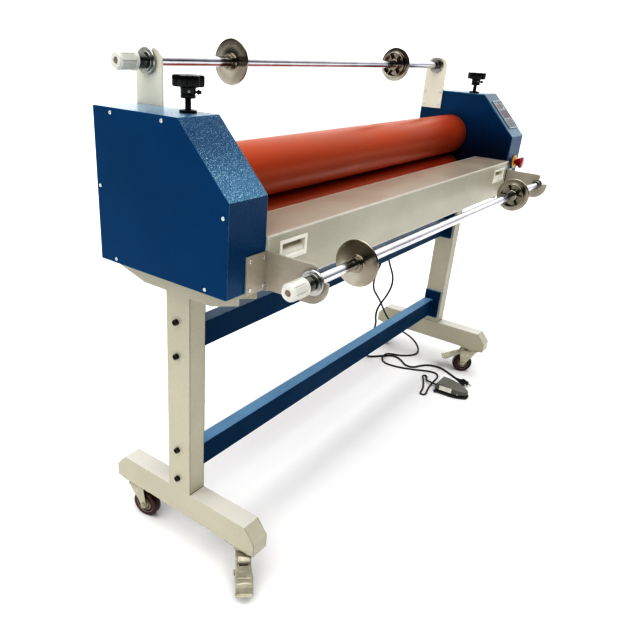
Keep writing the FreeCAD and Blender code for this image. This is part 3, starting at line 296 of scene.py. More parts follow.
def machined(name, colour, roughness, stretch=(1.0, 1.0, 1.0), grain_scale=300.0, line=0.25, tarnish=None,
        tarnish_amount=0.3, wear_width=0.0006, mottle=0.08, **shader):
    """Metal with a direction to its grain, darker or duller in places."""
    f = Finish(name, metallic=1.0, **shader)
    cloud = f.span(f.noise(14.0, 5.0), 0.34, 0.66)
    base = f.mix(cloud, scaled(colour, 1.0 - mottle), scaled(colour, 1.0 + mottle))
    if tarnish:
        stain = f.span(f.noise(38.0, 5.0, roughness=0.65), 0.5, 0.7)
        base = f.tint(base, tarnish, stain, tarnish_amount)
    rounded, edge = f.edges(wear_width)
    # Painted highlight: lighter along sharp edges.
    base = f.tint(base, scaled(colour, 1.5), edge, 0.35)
    grain = f.noise(grain_scale, 3.0, stretch)
    normal = f.bump(grain, 0.0002, line, rounded)
    dull = f.span(cloud, 0.0, 1.0, roughness - 0.03, roughness + 0.05)
    return f.finish(base, f.math("ADD", f.span(grain, 0.3, 0.7, -0.05, 0.05), dull), normal)


def turned(name, colour, roughness, rings=1400.0, line=0.25, tint=None, tint_amount=0.4, wear_width=0.0006,
        **shader):
    """Lathe-turned metal: fine circles about the piece's local Z axis."""
    f = Finish(name, metallic=1.0, **shader)
    radius = f.axis_radius()
    circle = f.node("ShaderNodeTexNoise", noise_dimensions="1D")
    circle.inputs["Scale"].default_value = rings
    circle.inputs["Detail"].default_value = 2.0
    f.link(radius, circle.inputs["W"])
    lines = circle.outputs[0]
    cloud = f.span(f.noise(22.0, 4.0), 0.3, 0.7)
    base = f.mix(cloud, scaled(colour, 0.9), scaled(colour, 1.08))
    if tint:
        stain = f.span(f.noise(9.0, 3.0), 0.4, 0.62)
        base = f.tint(base, tint, stain, tint_amount)
    base = f.mix(f.span(lines, 0.45, 0.7, 0.0, 0.18), base, scaled(colour, 0.72))
    rounded, edge = f.edges(wear_width)
    # Painted highlight: lighter along sharp edges.
    base = f.tint(base, scaled(colour, 1.5), edge, 0.4)
    normal = f.bump(lines, 0.0001, line, rounded)
    return f.finish(base, f.span(lines, 0.3, 0.7, roughness - 0.03, roughness + 0.07), normal)


def rubber_roller(name, colour, y, z):
    """Ground silicone: faint circumferential lines, dull patches and a paler bloom."""
    f = Finish(name, specular=0.4)
    cloud = f.span(f.noise(5.0, 4.0, (0.6, 2.0, 2.0)), 0.3, 0.7)
    base = f.mix(cloud, scaled(colour, 0.9), scaled(colour, 1.08))
    lathe = f.noise(900.0, 2.0, (1.0, 0.004, 0.004))
    base = f.mix(f.span(lathe, 0.4, 0.7, 0.0, 0.12), base, scaled(colour, 1.5))
    bloom = f.span(f.noise(24.0, 6.0, (0.25, 1.5, 1.5), roughness=0.7), 0.56, 0.78, 0.0, 0.14)
    base = f.mix(bloom, base, (0.7, 0.3, 0.2))
    radius = f.axis_radius(y, z)
    base = f.mix(f.span(radius, 0.0655, 0.0635), base, scaled(colour, 0.72))
    # Painted shadow: darker towards the right-hand end, where the housing shades the roller.
    base = f.mix(f.span(f.split()[0], 0.60, 0.70, 0.0, 0.5), base, scaled(colour, 0.3))
    rounded, _ = f.edges(0.002)
    normal = f.bump(lathe, 0.0002, 0.12, f.bump(f.noise(420.0, 3.0), 0.0003, 0.08, rounded))
    return f.finish(base, f.span(cloud, 0.0, 1.0, 0.34, 0.46), normal)


def hammered(name, colour):
    """Deep blue textured powder coat, with painted light: sheen and glints on the faces that look up and on
    the slope, a greyer tone on the right-hand housing, and painted shade low on its inner face.
    """
    f = Finish(name, specular=0.25, coat=0.1, coat_roughness=0.16)
    cloud = f.span(f.noise(6.0, 4.0), 0.3, 0.7)
    base = f.mix(cloud, scaled(colour, 0.9), scaled(colour, 1.1))
    grain = f.noise(300.0, 3.0, roughness=0.65)
    pits = f.cells(260.0)
    base = f.mix(f.span(grain, 0.5, 0.7, 0.0, 0.15), base, scaled(colour, 2.0))
    base = f.mix(f.span(pits, 0.34, 0.1, 0.0, 0.15), base, scaled(colour, 0.6))
    x, y, z = f.split()
    level, sloped = f.upward(0.8, 0.98), f.upward(0.15, 0.6)
    # Painted sheen and reflection: paler faces that look up, paler still towards the rear, and a paler sheen
    # low on the slope.
    base = f.tint(base, (0.30, 0.46, 0.54), level, 0.3)
    base = f.tint(base, (0.62, 0.70, 0.78), level, f.span(y, 0.04, 0.22, 0.0, 0.55))
    base = f.tint(base, (0.16, 0.36, 0.50), sloped, f.span(z, 1.045, 0.945, 0.0, 0.36))
    # Painted glints on the slope and top faces, denser towards the bottom.
    lower = f.span(z, 1.09, 0.95, 0.35, 1.0)
    patch = f.times(f.span(f.noise(7.0, 3.0), 0.3, 0.65, 0.5, 1.0), lower)
    glint = f.times(f.span(f.noise(480.0, 2.0, roughness=0.7), 0.52, 0.70), patch)
    base = f.tint(base, (0.62, 0.86, 1.0), glint, sloped)
    # Painted light: a greyer tone on the upward faces, growing towards the right-hand housing.
    base = f.tint(base, (0.15, 0.20, 0.225), f.upward(0.3, 0.7), f.span(x, 0.0, 0.5, 0.0, 0.5))
    # Painted shade: the inner face of the right-hand housing darkens towards the bottom.
    inner_face = f.times(f.span(x, 0.7035, 0.7015), f.span(x, 0.0, 0.5))
    base = f.tint(base, scaled(colour, 0.12), inner_face, f.span(z, 1.03, 0.86, 0.0, 0.75))
    rounded, edge = f.edges(0.003)
    # Paler broken edges: rubbed wear and a painted edge highlight.
    broken = f.times(edge, f.span(f.noise(45.0, 4.0), 0.3, 0.6, 0.25, 0.8))
    base = f.mix(broken, base, (0.26, 0.44, 0.58))
    height = f.math("ADD", grain, f.times(pits, 0.9))
    return f.finish(base, f.span(grain, 0.3, 0.7, 0.4, 0.24), f.bump(height, 0.0008, 0.5, rounded))


def wheel_finish(name, colour):
    """Dark red tread; the centre shows pale turned rings about the axle."""
    f = Finish(name, specular=0.5, coat=0.3, coat_roughness=0.25)
    radius = f.axis_radius()
    cloud = f.span(f.noise(30.0, 3.0), 0.3, 0.7)
    base = f.mix(cloud, scaled(colour, 0.8), scaled(colour, 1.25))
    dirt = f.span(f.noise(90.0, 4.0), 0.5, 0.75, 0.0, 0.3)
    base = f.mix(dirt, base, (0.14, 0.10, 0.08))
    pale = (0.44, 0.39, 0.29)
    for middle, half in ((0.0165, 0.0022), (0.0262, 0.0010)):
        ring = f.span(f.math("ABSOLUTE", f.math("SUBTRACT", radius, middle)), half, half - 0.0007)
        base = f.tint(base, pale, ring, f.span(cloud, 0.0, 1.0, 0.5, 0.85))
    base = f.mix(f.span(radius, 0.0125, 0.0115), base, (0.36, 0.34, 0.29))
    rounded, edge = f.edges(0.0008)
    # Painted highlight: paler along sharp edges.
    base = f.tint(base, pale, edge, 0.35)
    normal = f.bump(f.noise(500.0, 2.0), 0.0004, 0.15, rounded)
    return f.finish(base, f.span(cloud, 0.0, 1.0, 0.3, 0.42), normal)


LOOKS = {}


def look(name, maker, *values, **settings):
    LOOKS[name] = maker(name, *values, **settings)


SILICONE = (0.41, 0.078, 0.022)
front_y, front_z = centre_of("front_rod").yz
top_y, top_z = centre_of("top_rod").yz
roller_y, upper_z = centre_of("upper_roller_cover").yz
lower_z = centre_of("lower_roller_cover").z

look("cover_blue", hammered, (0.0015, 0.062, 0.150))
look("panel_blue", coated, (0.0012, 0.062, 0.150), 0.42, mottle=0.05, speck=0.14, speck_scale=520.0, bump=0.2,
    bump_scale=460.0, wear=(0.12, 0.25, 0.45), wear_width=0.0014, specular=0.15)
# Its top tint is a painted reflection: paler blue on the beams' top faces.
look("beam_blue", coated, (0.001, 0.052, 0.120), 0.4, mottle=0.07, speck=0.1, speck_scale=460.0, bump=0.12,
    bump_scale=300.0, wear=(0.30, 0.5, 0.7), wear_width=0.003, top=(0.26, 0.46, 0.66), top_amount=0.9,
    specular=0.1)
# Its top tint is a painted highlight: paler on the feet's top faces.
look("stand_beige", coated, (0.49, 0.465, 0.365), 0.38, mottle=0.03, speck=0.06, speck_scale=360.0, bump=0.1,
    bump_scale=300.0, wear=(0.82, 0.80, 0.72), wear_width=0.0022, dust=(0.50, 0.48, 0.40), dust_amount=0.2,
    coat=0.25, coat_roughness=0.25, top=(0.68, 0.67, 0.62), top_amount=0.9)
# A darker copy of the stand's beige for the feed table, painting the rollers' shade on it; its top tint adds
# painted shade and reddish reflection, its edge tint a painted highlight along the front edge.
look("table_beige", coated, (0.455, 0.44, 0.36), 0.36, mottle=0.04, speck=0.06, bump=0.1,
    wear=(1.0, 0.98, 0.94), wear_width=0.006, wear_amount=1.0, wear_least=0.8, coat=0.2,
    coat_roughness=0.25, top=(0.31, 0.26, 0.21), top_amount=0.85)
look("bracket_beige", coated, (0.78, 0.77, 0.655), 0.38, mottle=0.04, speck=0.08, bump=0.1,
    wear=(0.88, 0.87, 0.82), wear_width=0.0009, coat=0.25, coat_roughness=0.2)
look("bracket_shaded", coated, (0.38, 0.345, 0.285), 0.34, mottle=0.12, mottle_scale=9.0, speck=0.08,
    bump=0.1, wear=(0.7, 0.66, 0.58), coat=0.3, coat_roughness=0.2)
# Its recess tint is painted shade at the back of the grips' recesses.
look("grip_cream", coated, (0.90, 0.88, 0.80), 0.34, mottle=0.04, mottle_scale=20.0, bump=0.06,
    wear=(0.9, 0.88, 0.82), wear_width=0.001, coat=0.3, coat_roughness=0.2,
    hollow=((0.60, 0.56, 0.46), -0.134, -0.124, 0.815, 0.822))
look("core_steel", machined, (0.55, 0.55, 0.56), 0.26, (1.0, 0.06, 0.06), 500.0)
look("block_aluminium", machined, (0.7, 0.7, 0.71), 0.32, (0.1, 1.0, 1.0))
look("rod_chrome", machined, (0.68, 0.68, 0.72), 0.15, (0.02, 1.0, 1.0), 600.0, 0.12,
    tarnish=(0.40, 0.39, 0.43), tarnish_amount=0.25)
look("screw_silver", machined, (0.74, 0.74, 0.73), 0.24, grain_scale=700.0, line=0.2)
look("motor_grey", coated, (0.2, 0.205, 0.21), 0.5, bump=0.4, speck=0.2, wear=(0.4, 0.4, 0.4))
look("caster_zinc", coated, (0.50, 0.475, 0.37), 0.36, mottle=0.1, mottle_scale=60.0, bump=0.2,
    bump_scale=160.0, wear=(0.85, 0.85, 0.8), wear_width=0.001, dust=(0.25, 0.23, 0.17), dust_amount=0.45,
    metallic=0.5, coat=0.6)
look("bolt_black", coated, (0.016, 0.016, 0.018), 0.34, bump=0.15, bump_scale=900.0,
    wear=(0.22, 0.22, 0.23), wear_width=0.0006)
look("washer_steel", turned, (0.50, 0.50, 0.48), 0.26, tint=(0.25, 0.25, 0.22))
look("spring_steel", machined, (0.22, 0.23, 0.20), 0.3, line=0.2, tarnish=(0.1, 0.1, 0.09),
    tarnish_amount=0.5)
# Its top tint is painted light: paler on the treadle's top than on its sides.
look("pedal_grey", coated, (0.135, 0.137, 0.122), 0.5, mottle=0.1, speck=0.2, speck_scale=700.0, bump=0.5,
    bump_scale=620.0, wear=(0.35, 0.35, 0.32), top=(0.20, 0.205, 0.18), top_amount=0.95)
look("pedal_dark", coated, (0.045, 0.046, 0.040), 0.62, mottle=0.15, bump=0.5, bump_scale=500.0,
    dust=(0.12, 0.12, 0.11), dust_amount=0.4)
look("black_plastic", coated, (0.0075, 0.0075, 0.008), 0.26, mottle=0.15, speck=0.1, speck_scale=900.0,
    bump=0.16, bump_scale=800.0, wear=(0.06, 0.06, 0.065), wear_width=0.001, wear_amount=0.4)
look("cord_black", coated, (0.014, 0.014, 0.015), 0.42, mottle=0.2, speck=0.15, speck_scale=1200.0,
    bump=0.2, bump_scale=900.0, dust=(0.06, 0.06, 0.055), dust_amount=0.4)
look("nut_white", coated, (0.66, 0.655, 0.60), 0.3, mottle=0.03, mottle_scale=30.0, bump=0.08,
    bump_scale=500.0, wear=(0.55, 0.55, 0.53), wear_width=0.0007, wear_amount=0.4, coat=0.3)
# Dark brown finish for the disc that paints the shade inside the nut's open bore.
look("nut_bore", coated, (0.30, 0.245, 0.205), 0.4, mottle=0.15, mottle_scale=90.0, bump=0.1,
    wear=(0.5, 0.42, 0.36), wear_width=0.0006)
look("disc_metal", turned, (0.50, 0.47, 0.405), 0.17, tint=(0.25, 0.22, 0.17), tint_amount=0.7)
look("wheel_red", wheel_finish, (0.040, 0.008, 0.008))
look("panel_grey", coated, (0.12, 0.135, 0.15), 0.34, mottle=0.06, bump=0.1, bump_scale=900.0,
    wear=(0.5, 0.52, 0.55), wear_width=0.0008)
look("key_red", coated, (0.45, 0.02, 0.09), 0.3, mottle=0.06, bump=0.1, coat=0.4)
look("key_green", coated, (0.02, 0.30, 0.14), 0.3, mottle=0.06, bump=0.1, coat=0.4)
look("stop_yellow", coated, (0.72, 0.40, 0.05), 0.36, mottle=0.06, bump=0.15, coat=0.3)
look("stop_red", coated, (0.33, 0.006, 0.014), 0.26, mottle=0.06, bump=0.08, coat=0.5)
look("silicone_red", rubber_roller, SILICONE, roller_y, upper_z)
look("silicone_red_lower", rubber_roller, SILICONE, roller_y, lower_z)
look("panel_frame", coated, (0.42, 0.46, 0.50), 0.26, mottle=0.03, bump=0.08, wear=(0.85, 0.87, 0.9),
    wear_width=0.0006, coat=0.3)
look("panel_window", coated, (0.17, 0.14, 0.16), 0.4, mottle=0.08, mottle_scale=30.0, specular=0.2,
    wear=(0.5, 0.45, 0.48), wear_width=0.0006)
look("panel_pads", coated, (0.24, 0.23, 0.24), 0.4, mottle=0.05, bump=0.1, wear=(0.6, 0.6, 0.62),
    wear_width=0.0005)
look("label_white", coated, (0.72, 0.70, 0.62), 0.45, mottle=0.06, mottle_scale=60.0, bump=0.1)
look("seam_shade", coated, (0.10, 0.092, 0.07), 0.6, mottle=0.3, mottle_scale=40.0, bump=0.3,
    dust=(0.3, 0.28, 0.22), dust_amount=0.5)
look("foot_seam", coated, (0.30, 0.28, 0.21), 0.6, mottle=0.3, mottle_scale=40.0, bump=0.3,
    dust=(0.42, 0.39, 0.30), dust_amount=0.5)

look_of = {part["node"]: part["material_slot"] for part in frame["record"]["subparts"]}
look_of.update(lower_roller_cover="silicone_red_lower", feed_table="table_beige",
    front_rod_brackets="bracket_shaded")
for node, name in look_of.items():
    nodes[node].data.materials.clear()
    nodes[node].data.materials.append(LOOKS[name])


# ------------------------------------------------------------------ mesh helpers
# Meshes are drawn in millimetres; piece() scales them. Places are in metres.
def filleted(points, steps=4):
    """Rounds the corners of an open outline; a point is (a, b) or (a, b, radius)."""
    line = []
    for i, point in enumerate(points):
        corner = Vector(point[:2])
        radius = point[2] if len(point) > 2 else 0.0
        if not radius or i in (0, len(points) - 1):
            line.append(corner)
            continue
        before = (Vector(points[i - 1][:2]) - corner).normalized()
        after = (Vector(points[i + 1][:2]) - corner).normalized()
        half = before.angle(after) / 2
        reach = radius / math.tan(half)
        middle = corner + (before + after).normalized() * (radius / math.sin(half))
        start = corner + before * reach - middle
        turn = start.angle_signed(corner + after * reach - middle)
        for k in range(steps + 1):
            line.append(middle + Matrix.Rotation(-turn * k / steps, 2) @ start)
    return line


def skin(bm, rings, wrap=False):
    """Joins equal closed rings of points with quads."""
    made = [[bm.verts.new(p) for p in ring] for ring in rings]
    pairs = list(zip(made, made[1:]))
    if wrap:
        pairs.append((made[-1], made[0]))
    for a, b in pairs:
        for i in range(len(a)):
            j = (i + 1) % len(a)
            bm.faces.new((a[i], a[j], b[j], b[i]))
    if not wrap:
        bm.faces.new(list(reversed(made[0])))
        bm.faces.new(made[-1])


def lathe(bm, outline, segments=48, at=(0.0, 0.0), shape=None):
    """Turns an outline of (radius, height) about local Z. shape(angle, radius, height)
    may change a point's radius. An outline that starts and ends off the axis wraps."""
    wrap = outline[0][0] > 1e-6 and outline[-1][0] > 1e-6
    points = [p for p in outline if p[0] > 1e-6]
    rings = []
    for r, h in points:
        ring = []
        for k in range(segments):
            a = 2 * math.pi * k / segments
            rr = shape(a, r, h) if shape else r
            ring.append((at[0] + rr * math.cos(a), at[1] + rr * math.sin(a), h))
        rings.append(ring)
    skin(bm, rings, wrap)


def slab(bm, outline, low, high, bevel=0.0):
    """Prism on a closed plan outline of (x, y), with a small chamfer at both ends."""
    centre = sum((Vector(p) for p in outline), Vector((0, 0))) / len(outline)

    def ring(z, inset):
        points = []
        for p in outline:
            away = Vector(p) - centre
            keep = max(0.0, 1.0 - inset / max(away.length, 1e-9))
            q = centre + away * keep
            points.append((q.x, q.y, z))
        return points

    if bevel:
        skin(bm, [ring(low, bevel), ring(low + bevel, 0), ring(high - bevel, 0), ring(high, bevel)])
    else:
        skin(bm, [ring(low, 0), ring(high, 0)])


def hexagon(radius, first_degrees):
    angles = [math.radians(60 * k + first_degrees) for k in range(6)]
    return [(radius * math.cos(a), radius * math.sin(a)) for a in angles]


def rounded_rectangle(x0, x1, y0, y1, radius, steps=5):
    points = []
    for cx, cy, start in ((x1 - radius, y1 - radius, 0), (x0 + radius, y1 - radius, 90),
            (x0 + radius, y0 + radius, 180), (x1 - radius, y0 + radius, 270)):
        for k in range(steps + 1):
            a = math.radians(start + 90 * k / steps)
            points.append((cx + radius * math.cos(a), cy + radius * math.sin(a)))
    return points


def tube(bm, path, radius, sides=12):
    """Round wire or pipe along a path of points."""
    points = [Vector(p) for p in path]
    rings = []
    side = None
    for i, p in enumerate(points):
        along = (points[min(i + 1, len(points) - 1)] - points[max(i - 1, 0)]).normalized()
        if side is None:
            side = along.orthogonal().normalized()
        side = (side - along * side.dot(along)).normalized()
        other = along.cross(side)
        turns = [2 * math.pi * k / sides for k in range(sides)]
        rings.append([p + (side * math.cos(t) + other * math.sin(t)) * radius for t in turns])
    skin(bm, rings)


def merge(bm, part, place=Matrix()):
    """Adds the mesh of part to bm."""
    part.transform(place)
    mesh = bpy.data.meshes.new("part")
    part.to_mesh(mesh)
    part.free()
    bm.from_mesh(mesh)
    bpy.data.meshes.remove(mesh)


def show(name, data, look_name):
    obj = bpy.data.objects.new(name, data)
    bpy.context.scene.collection.objects.link(obj)
    data.materials.append(LOOKS[look_name])
    return obj


def ride(obj, node, stands_in):
    """Ties the piece to the body of a CAD node, which it may also stand in for."""
    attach(obj, body_of(node))
    if stands_in:
        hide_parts(node)


def piece(name, bm, look_name, node, place=None, sharp=32.0, stands_in=True):
    """Makes the mesh, which is in millimetres, an object of the model."""
    bmesh.ops.scale(bm, vec=(MM, MM, MM), verts=bm.verts)
    bmesh.ops.remove_doubles(bm, verts=bm.verts, dist=1e-7)
    bmesh.ops.recalc_face_normals(bm, faces=bm.faces)
    mesh = bpy.data.meshes.new(name)
    bm.to_mesh(mesh)
    bm.free()
    mesh.polygons.foreach_set("use_smooth", [True] * len(mesh.polygons))
    mesh.set_sharp_from_angle(angle=math.radians(sharp))
    obj = show(name, mesh, look_name)
    if place is not None:
        obj.matrix_world = place
    ride(obj, node, stands_in)
    return obj


def moved(x, y, z, degrees, axis):
    return Matrix.Translation((x, y, z)) @ Matrix.Rotation(math.radians(degrees), 4, axis)


def along_x(x, y, z, sign=1):
    """Place for a turned piece: its local Z points along +X, or -X with sign -1."""
    return moved(x, y, z, 90 * sign, "Y")


# ------------------------------------------------------------------ leads
MAINS_ROUTE = [
    (671, 210, 775), (646, 210, 773), (617, 210, 762), (589, 211, 741), (566, 212, 708), (552, 212, 668),
    (545, 213, 620), (544, 213, 570), (549, 213, 520), (560, 213, 474), (578, 213, 434), (601, 213, 402),
    (624, 213, 372), (641, 213, 343), (643, 213, 312), (625, 213, 288), (599, 213, 270), (572, 213, 257),
    (546, 213, 244), (530, 213, 224), (530, 213, 198), (544, 215, 173), (549, 219, 146), (542, 226, 117),
    (532, 237, 88), (526, 246, 61), (526, 249, 36), (535, 243, 15), (552, 228, 3.5), (577, 207, 3.5),
    (605, 185, 3.5), (628, 166, 3.5), (634, 141, 3.5), (621, 114, 3.5), (604, 95, 3.5), (590, 77, 3.5),
    (588, 55, 3.5), (601, 38, 3.5), (624, 29, 3.5), (648, 15, 3.5), (665, -7, 3.5), (671, -34, 3.5),
    (665, -62, 3.5), (651, -88, 3.5), (637, -112, 3.5), (626, -134, 3.5),
]
PEDAL_ROUTE = [
    (671, 186, 775), (646, 186, 772), (621, 187, 756), (601, 188, 728), (584, 189, 692), (568, 190, 649),
    (552, 191, 603), (535, 192, 557), (515, 193, 513), (492, 195, 471), (467, 196, 435), (446, 196, 406),
    (436, 196, 376), (447, 196, 347), (472, 196, 322), (502, 196, 294), (532, 196, 262), (558, 195, 229),
    (583, 192, 197), (607, 183, 167), (635, 167, 140), (666, 154, 114), (700, 146, 91), (732, 138, 69),
    (753, 124, 47), (759, 108, 27), (751, 95, 13), (733, 89, 5.5), (710, 92, 3.2), (688, 103, 3.2),
    (668, 121, 3.2), (653, 143, 3.2), (641, 163, 5.5), (622, 176, 11.8), (599, 181, 12.2), (577, 180, 8),
    (557, 168, 3.5), (546, 145, 3.2), (547, 117, 3.2), (554, 87, 3.2), (564, 60, 3.2), (577, 34, 3.2),
    (590, 10, 3.2), (605, -15, 3.2), (614, -40, 3.2), (606, -61, 3.2), (584, -71, 3.2), (553, -73, 3.2),
    (519, -75, 3.2), (484, -79, 3.2), (453, -85, 3.2), (431, -92, 3.2), (419, -92, 3.2), (411, -86, 3.2),
    (411, -77, 3.2), (420, -72, 3.2), (440, -69, 3.2), (470, -61, 3.2), (503, -47, 3.2), (530, -33, 3.2),
    (546, -23, 3.2), (556, -19, 3.2), (563, -23, 3.2), (563, -31, 3.2), (556, -36, 3.4), (541, -42, 4),
    (527, -49, 6), (517, -60, 9), (512, -71, 11.3), (509, -82, 11.4), (508, -92, 11),
]


def lead(name, route, radius, node):
    curve = bpy.data.curves.new(name, "CURVE")
    curve.dimensions = "3D"
    curve.bevel_depth = radius * MM
    curve.bevel_resolution = 4
    curve.resolution_u = 6
    curve.use_fill_caps = True
    spline = curve.splines.new("NURBS")
    spline.points.add(len(route) - 1)
    for point, where in zip(spline.points, route):
        point.co = (*mm(*where), 1.0)
    spline.order_u = 3
    spline.use_endpoint_u = True
    obj = show(name, curve, "cord_black")
    ride(obj, node, True)
    return obj


MAINS_R = 3.5
PEDAL_R = 3.2
mains = lead("mains_lead_sheath", MAINS_ROUTE, MAINS_R, "mains_lead")
pedal = lead("pedal_lead_sheath", PEDAL_ROUTE, PEDAL_R, "pedal_lead")


def ribbed_relief(bm, r_start, r_end, length, ribs, base=0.0):
    """Tapered strain relief along local Z with moulded rings."""
    outline = [(0.0, base), (r_start, base)]
    for k in range(ribs):
        a = base + length * (k + 0.15) / ribs
        b = base + length * (k + 0.62) / ribs
        c = base + length * (k + 0.78) / ribs
        ra = r_start + (r_end - r_start) * (k + 0.4) / ribs
        outline += [(ra, a), (ra, b), (ra - 0.9, b + 0.3), (ra - 0.9, c)]
    outline += [(r_end, base + length - 0.4), (r_end - 0.3, base + length), (0.0, base + length)]
    lathe(bm, outline, 28)


def cable_gland(index, node_y, node_z, cord_radius):
    """Hexagon, domed cap and ribbed tail. Local Z points along -X, away from the frame."""
    bm = bmesh.new()
    slab(bm, hexagon(9.7, 0), 0.2, 6, 0.6)
    lathe(bm, [(0, 6), (8, 6), (8, 10), (7.2, 11.5), (6.2, 12), (0, 12)], 32)
    ribbed_relief(bm, 6.4, cord_radius + 1.3, 18, 4, 12)
    lathe(bm, [(0, -12), (8.8, -12), (8.8, -8), (6, -8), (6, 0.2), (0, 0.2)], 32)
    place = along_x(0.701, node_y, node_z, -1)
    return piece("cable_gland_%d" % index, bm, "black_plastic", "cable_glands", place)


gland_mains = cable_gland(1, 0.210, 0.775, MAINS_R)
gland_pedal = cable_gland(2, 0.186, 0.775, PEDAL_R)


def mains_plug():
    """Moulded plug: ribbed relief, waisted body with finger grooves, two round pins."""
    x, y, z = mm(*MAINS_ROUTE[-1])
    before = mm(*MAINS_ROUTE[-2])
    axis = (Vector((x, y, z)) - before).normalized()
    side = axis.cross(Vector((0, 0, 1)))
    bm = bmesh.new()

    def section(t, half_w, low, high, radius):
        return [(a, b, t) for a, b in rounded_rectangle(-half_w, half_w, low, high, radius)]

    rings = []
    for k in range(13):
        t = 1.0 + k * 1.85
        r = 3.6 + 2.3 * k / 12 + (0.35 if k % 2 else -0.35)
        rings.append(section(t, r, max(0.1, 3.5 - r), 3.5 + r + k * 0.12, min(r, 3.5 + r) * 0.48))
    rings += [section(25.0, 8.0, 0.6, 13.5, 3.2), section(27.0, 10.6, 0.2, 15.8, 4.2),
        section(31.0, 12.0, 0.1, 16.7, 4.8)]
    for k in range(4):
        t = 34.0 + 3.6 * k
        rings += [section(t, 12.2, 0.1, 16.8, 4.8), section(t + 0.6, 11.5, 0.4, 16.2, 4.6),
            section(t + 1.8, 11.5, 0.4, 16.2, 4.6), section(t + 2.4, 12.2, 0.1, 16.8, 4.8)]
    rings += [section(50.0, 12.9, 0.1, 16.9, 4.9), section(54.6, 12.9, 0.1, 16.9, 4.9),
        section(55.6, 12.2, 0.6, 16.3, 4.6)]
    skin(bm, rings)
    place = Matrix((side, Vector((0, 0, 1)), axis)).transposed().to_4x4()
    place.translation = (x, y, 0.0)
    body = piece("mains_plug_body", bm, "black_plastic", "mains_plug", place)
    bm = bmesh.new()
    for s in (-9.5, 9.5):
        pin = bmesh.new()
        lathe(pin, [(0, 55), (2.4, 55), (2.4, 74), (1.5, 75.8), (0, 75.9)], 20, (s, 8.5))
        merge(bm, pin)
    pins = piece("mains_plug_pins", bm, "screw_silver", "mains_plug", place, stands_in=False)
    return body, pins


plug_body, plug_pins = mains_plug()


# ------------------------------------------------------------------ film rods
FLANGE = 12.0     # outer end of a core disc to its flange


def ring(r_in, r_out, low, high, chamfer=0.5):
    """Closed outline of a flat ring, for the lathe."""
    return [(r_in, low), (r_out - chamfer, low), (r_out, low + chamfer), (r_out, high - chamfer),
        (r_out - chamfer, high), (r_in, high)]


def coil_spring(bm, mean_r, wire_r, low, high, turns):
    steps = int(turns * 20)
    path = []
    for k in range(steps + 1):
        t = k / steps
        a = 2 * math.pi * turns * t
        h = low + wire_r + (high - low - 2 * wire_r) * t
        path.append((mean_r * math.cos(a), mean_r * math.sin(a), h))
    tube(bm, path, wire_r, 10)


def rod_hardware(name, y, z, right_plate):
    """Washers and brake spring outside the left bracket, bush and plate at the right."""
    node = name + "_rod_bearings"
    place = along_x(0.0, y, z)
    bm = bmesh.new()
    lathe(bm, ring(11.5, 24.0, -706.3, -701.4, 0.9), 64)
    lathe(bm, [(11.5, -707.3), (22.0, -707.3), (22.6, -707.9), (26.0, -706.9), (26.0, -708.6),
        (24.6, -710.2), (11.5, -710.2)], 64)
    lathe(bm, ring(11.5, 20.0, -713.3, -710.4, 0.6), 56)
    lathe(bm, ring(11.5, 17.0, -696.6, -692.8, 0.7), 48)
    lathe(bm, [(11.5, 692.9), (right_plate - 4.5, 692.9), (right_plate - 4.0, 693.6),
        (right_plate - 0.6, 693.6), (right_plate, 694.2), (right_plate, 696.1), (right_plate - 0.6, 696.6),
        (11.5, 696.6)], 64)
    piece(name + "_rod_washers", bm, "washer_steel", node, place)
    bm = bmesh.new()
    lathe(bm, [(11.5, 670.9), (13.4, 670.9), (14.3, 671.8), (14.3, 676.5), (13.2, 677.2), (13.2, 679.4),
        (14.3, 680.1), (14.3, 692.7), (11.5, 692.7)], 48)
    piece(name + "_rod_bush", bm, "spring_steel", node, place, stands_in=False)
    bm = bmesh.new()
    coil_spring(bm, 13.7, 1.15, -737.5, -713.5, 6.5)
    piece(name + "_brake_spring", bm, "spring_steel", node, place, stands_in=False)


def tension_nut(name, y, z):
    """White plastic nut: eight flats parted by grooves, a stepped collar, an open nose."""
    node = name + "_tension_nut"

    def fluted(a, r, h):
        if r < 14.6 or h > -747.5 or h < -781.5:
            return r
        phase = (a * 8 / (2 * math.pi)) % 1.0
        flat = r * math.cos(math.pi / 8) / math.cos((phase - 0.5) * 2 * math.pi / 8)
        groove = 1.7 if min(phase, 1 - phase) < 0.09 else 0.0
        return min(r, flat + 0.5) - groove

    outline = [(0, -780.6), (5.6, -780.6), (6.4, -781.2), (6.4, -785.2), (7.0, -786.0), (13.2, -786.0),
        (14.5, -785.2), (15.2, -783.4), (16.6, -782.2), (18.3, -780.6), (18.5, -779.6), (18.5, -764.0),
        (18.5, -749.0), (18.4, -748.2), (17.2, -747.6), (16.9, -746.8), (16.9, -745.4), (17.3, -744.8),
        (18.5, -744.4), (18.5, -739.0), (17.6, -738.1), (11.5, -738.1), (11.5, -779.2), (0, -779.2)]
    bm = bmesh.new()
    lathe(bm, outline, 128, (0.0, 0.0), fluted)
    piece(node + "_moulding", bm, "nut_white", node, along_x(0.0, y, z), 28.0)
    # Painted shade: a dark disc at the bottom of the nose's open bore.
    bm = bmesh.new()
    lathe(bm, [(0, -781.0), (5.2, -781.0), (5.9, -781.8), (5.9, -783.0), (3.2, -783.0), (2.6, -782.4),
        (0, -782.4)], 24)
    piece(node + "_bore_washer", bm, "nut_bore", node, along_x(0.0, y, z), stands_in=False)


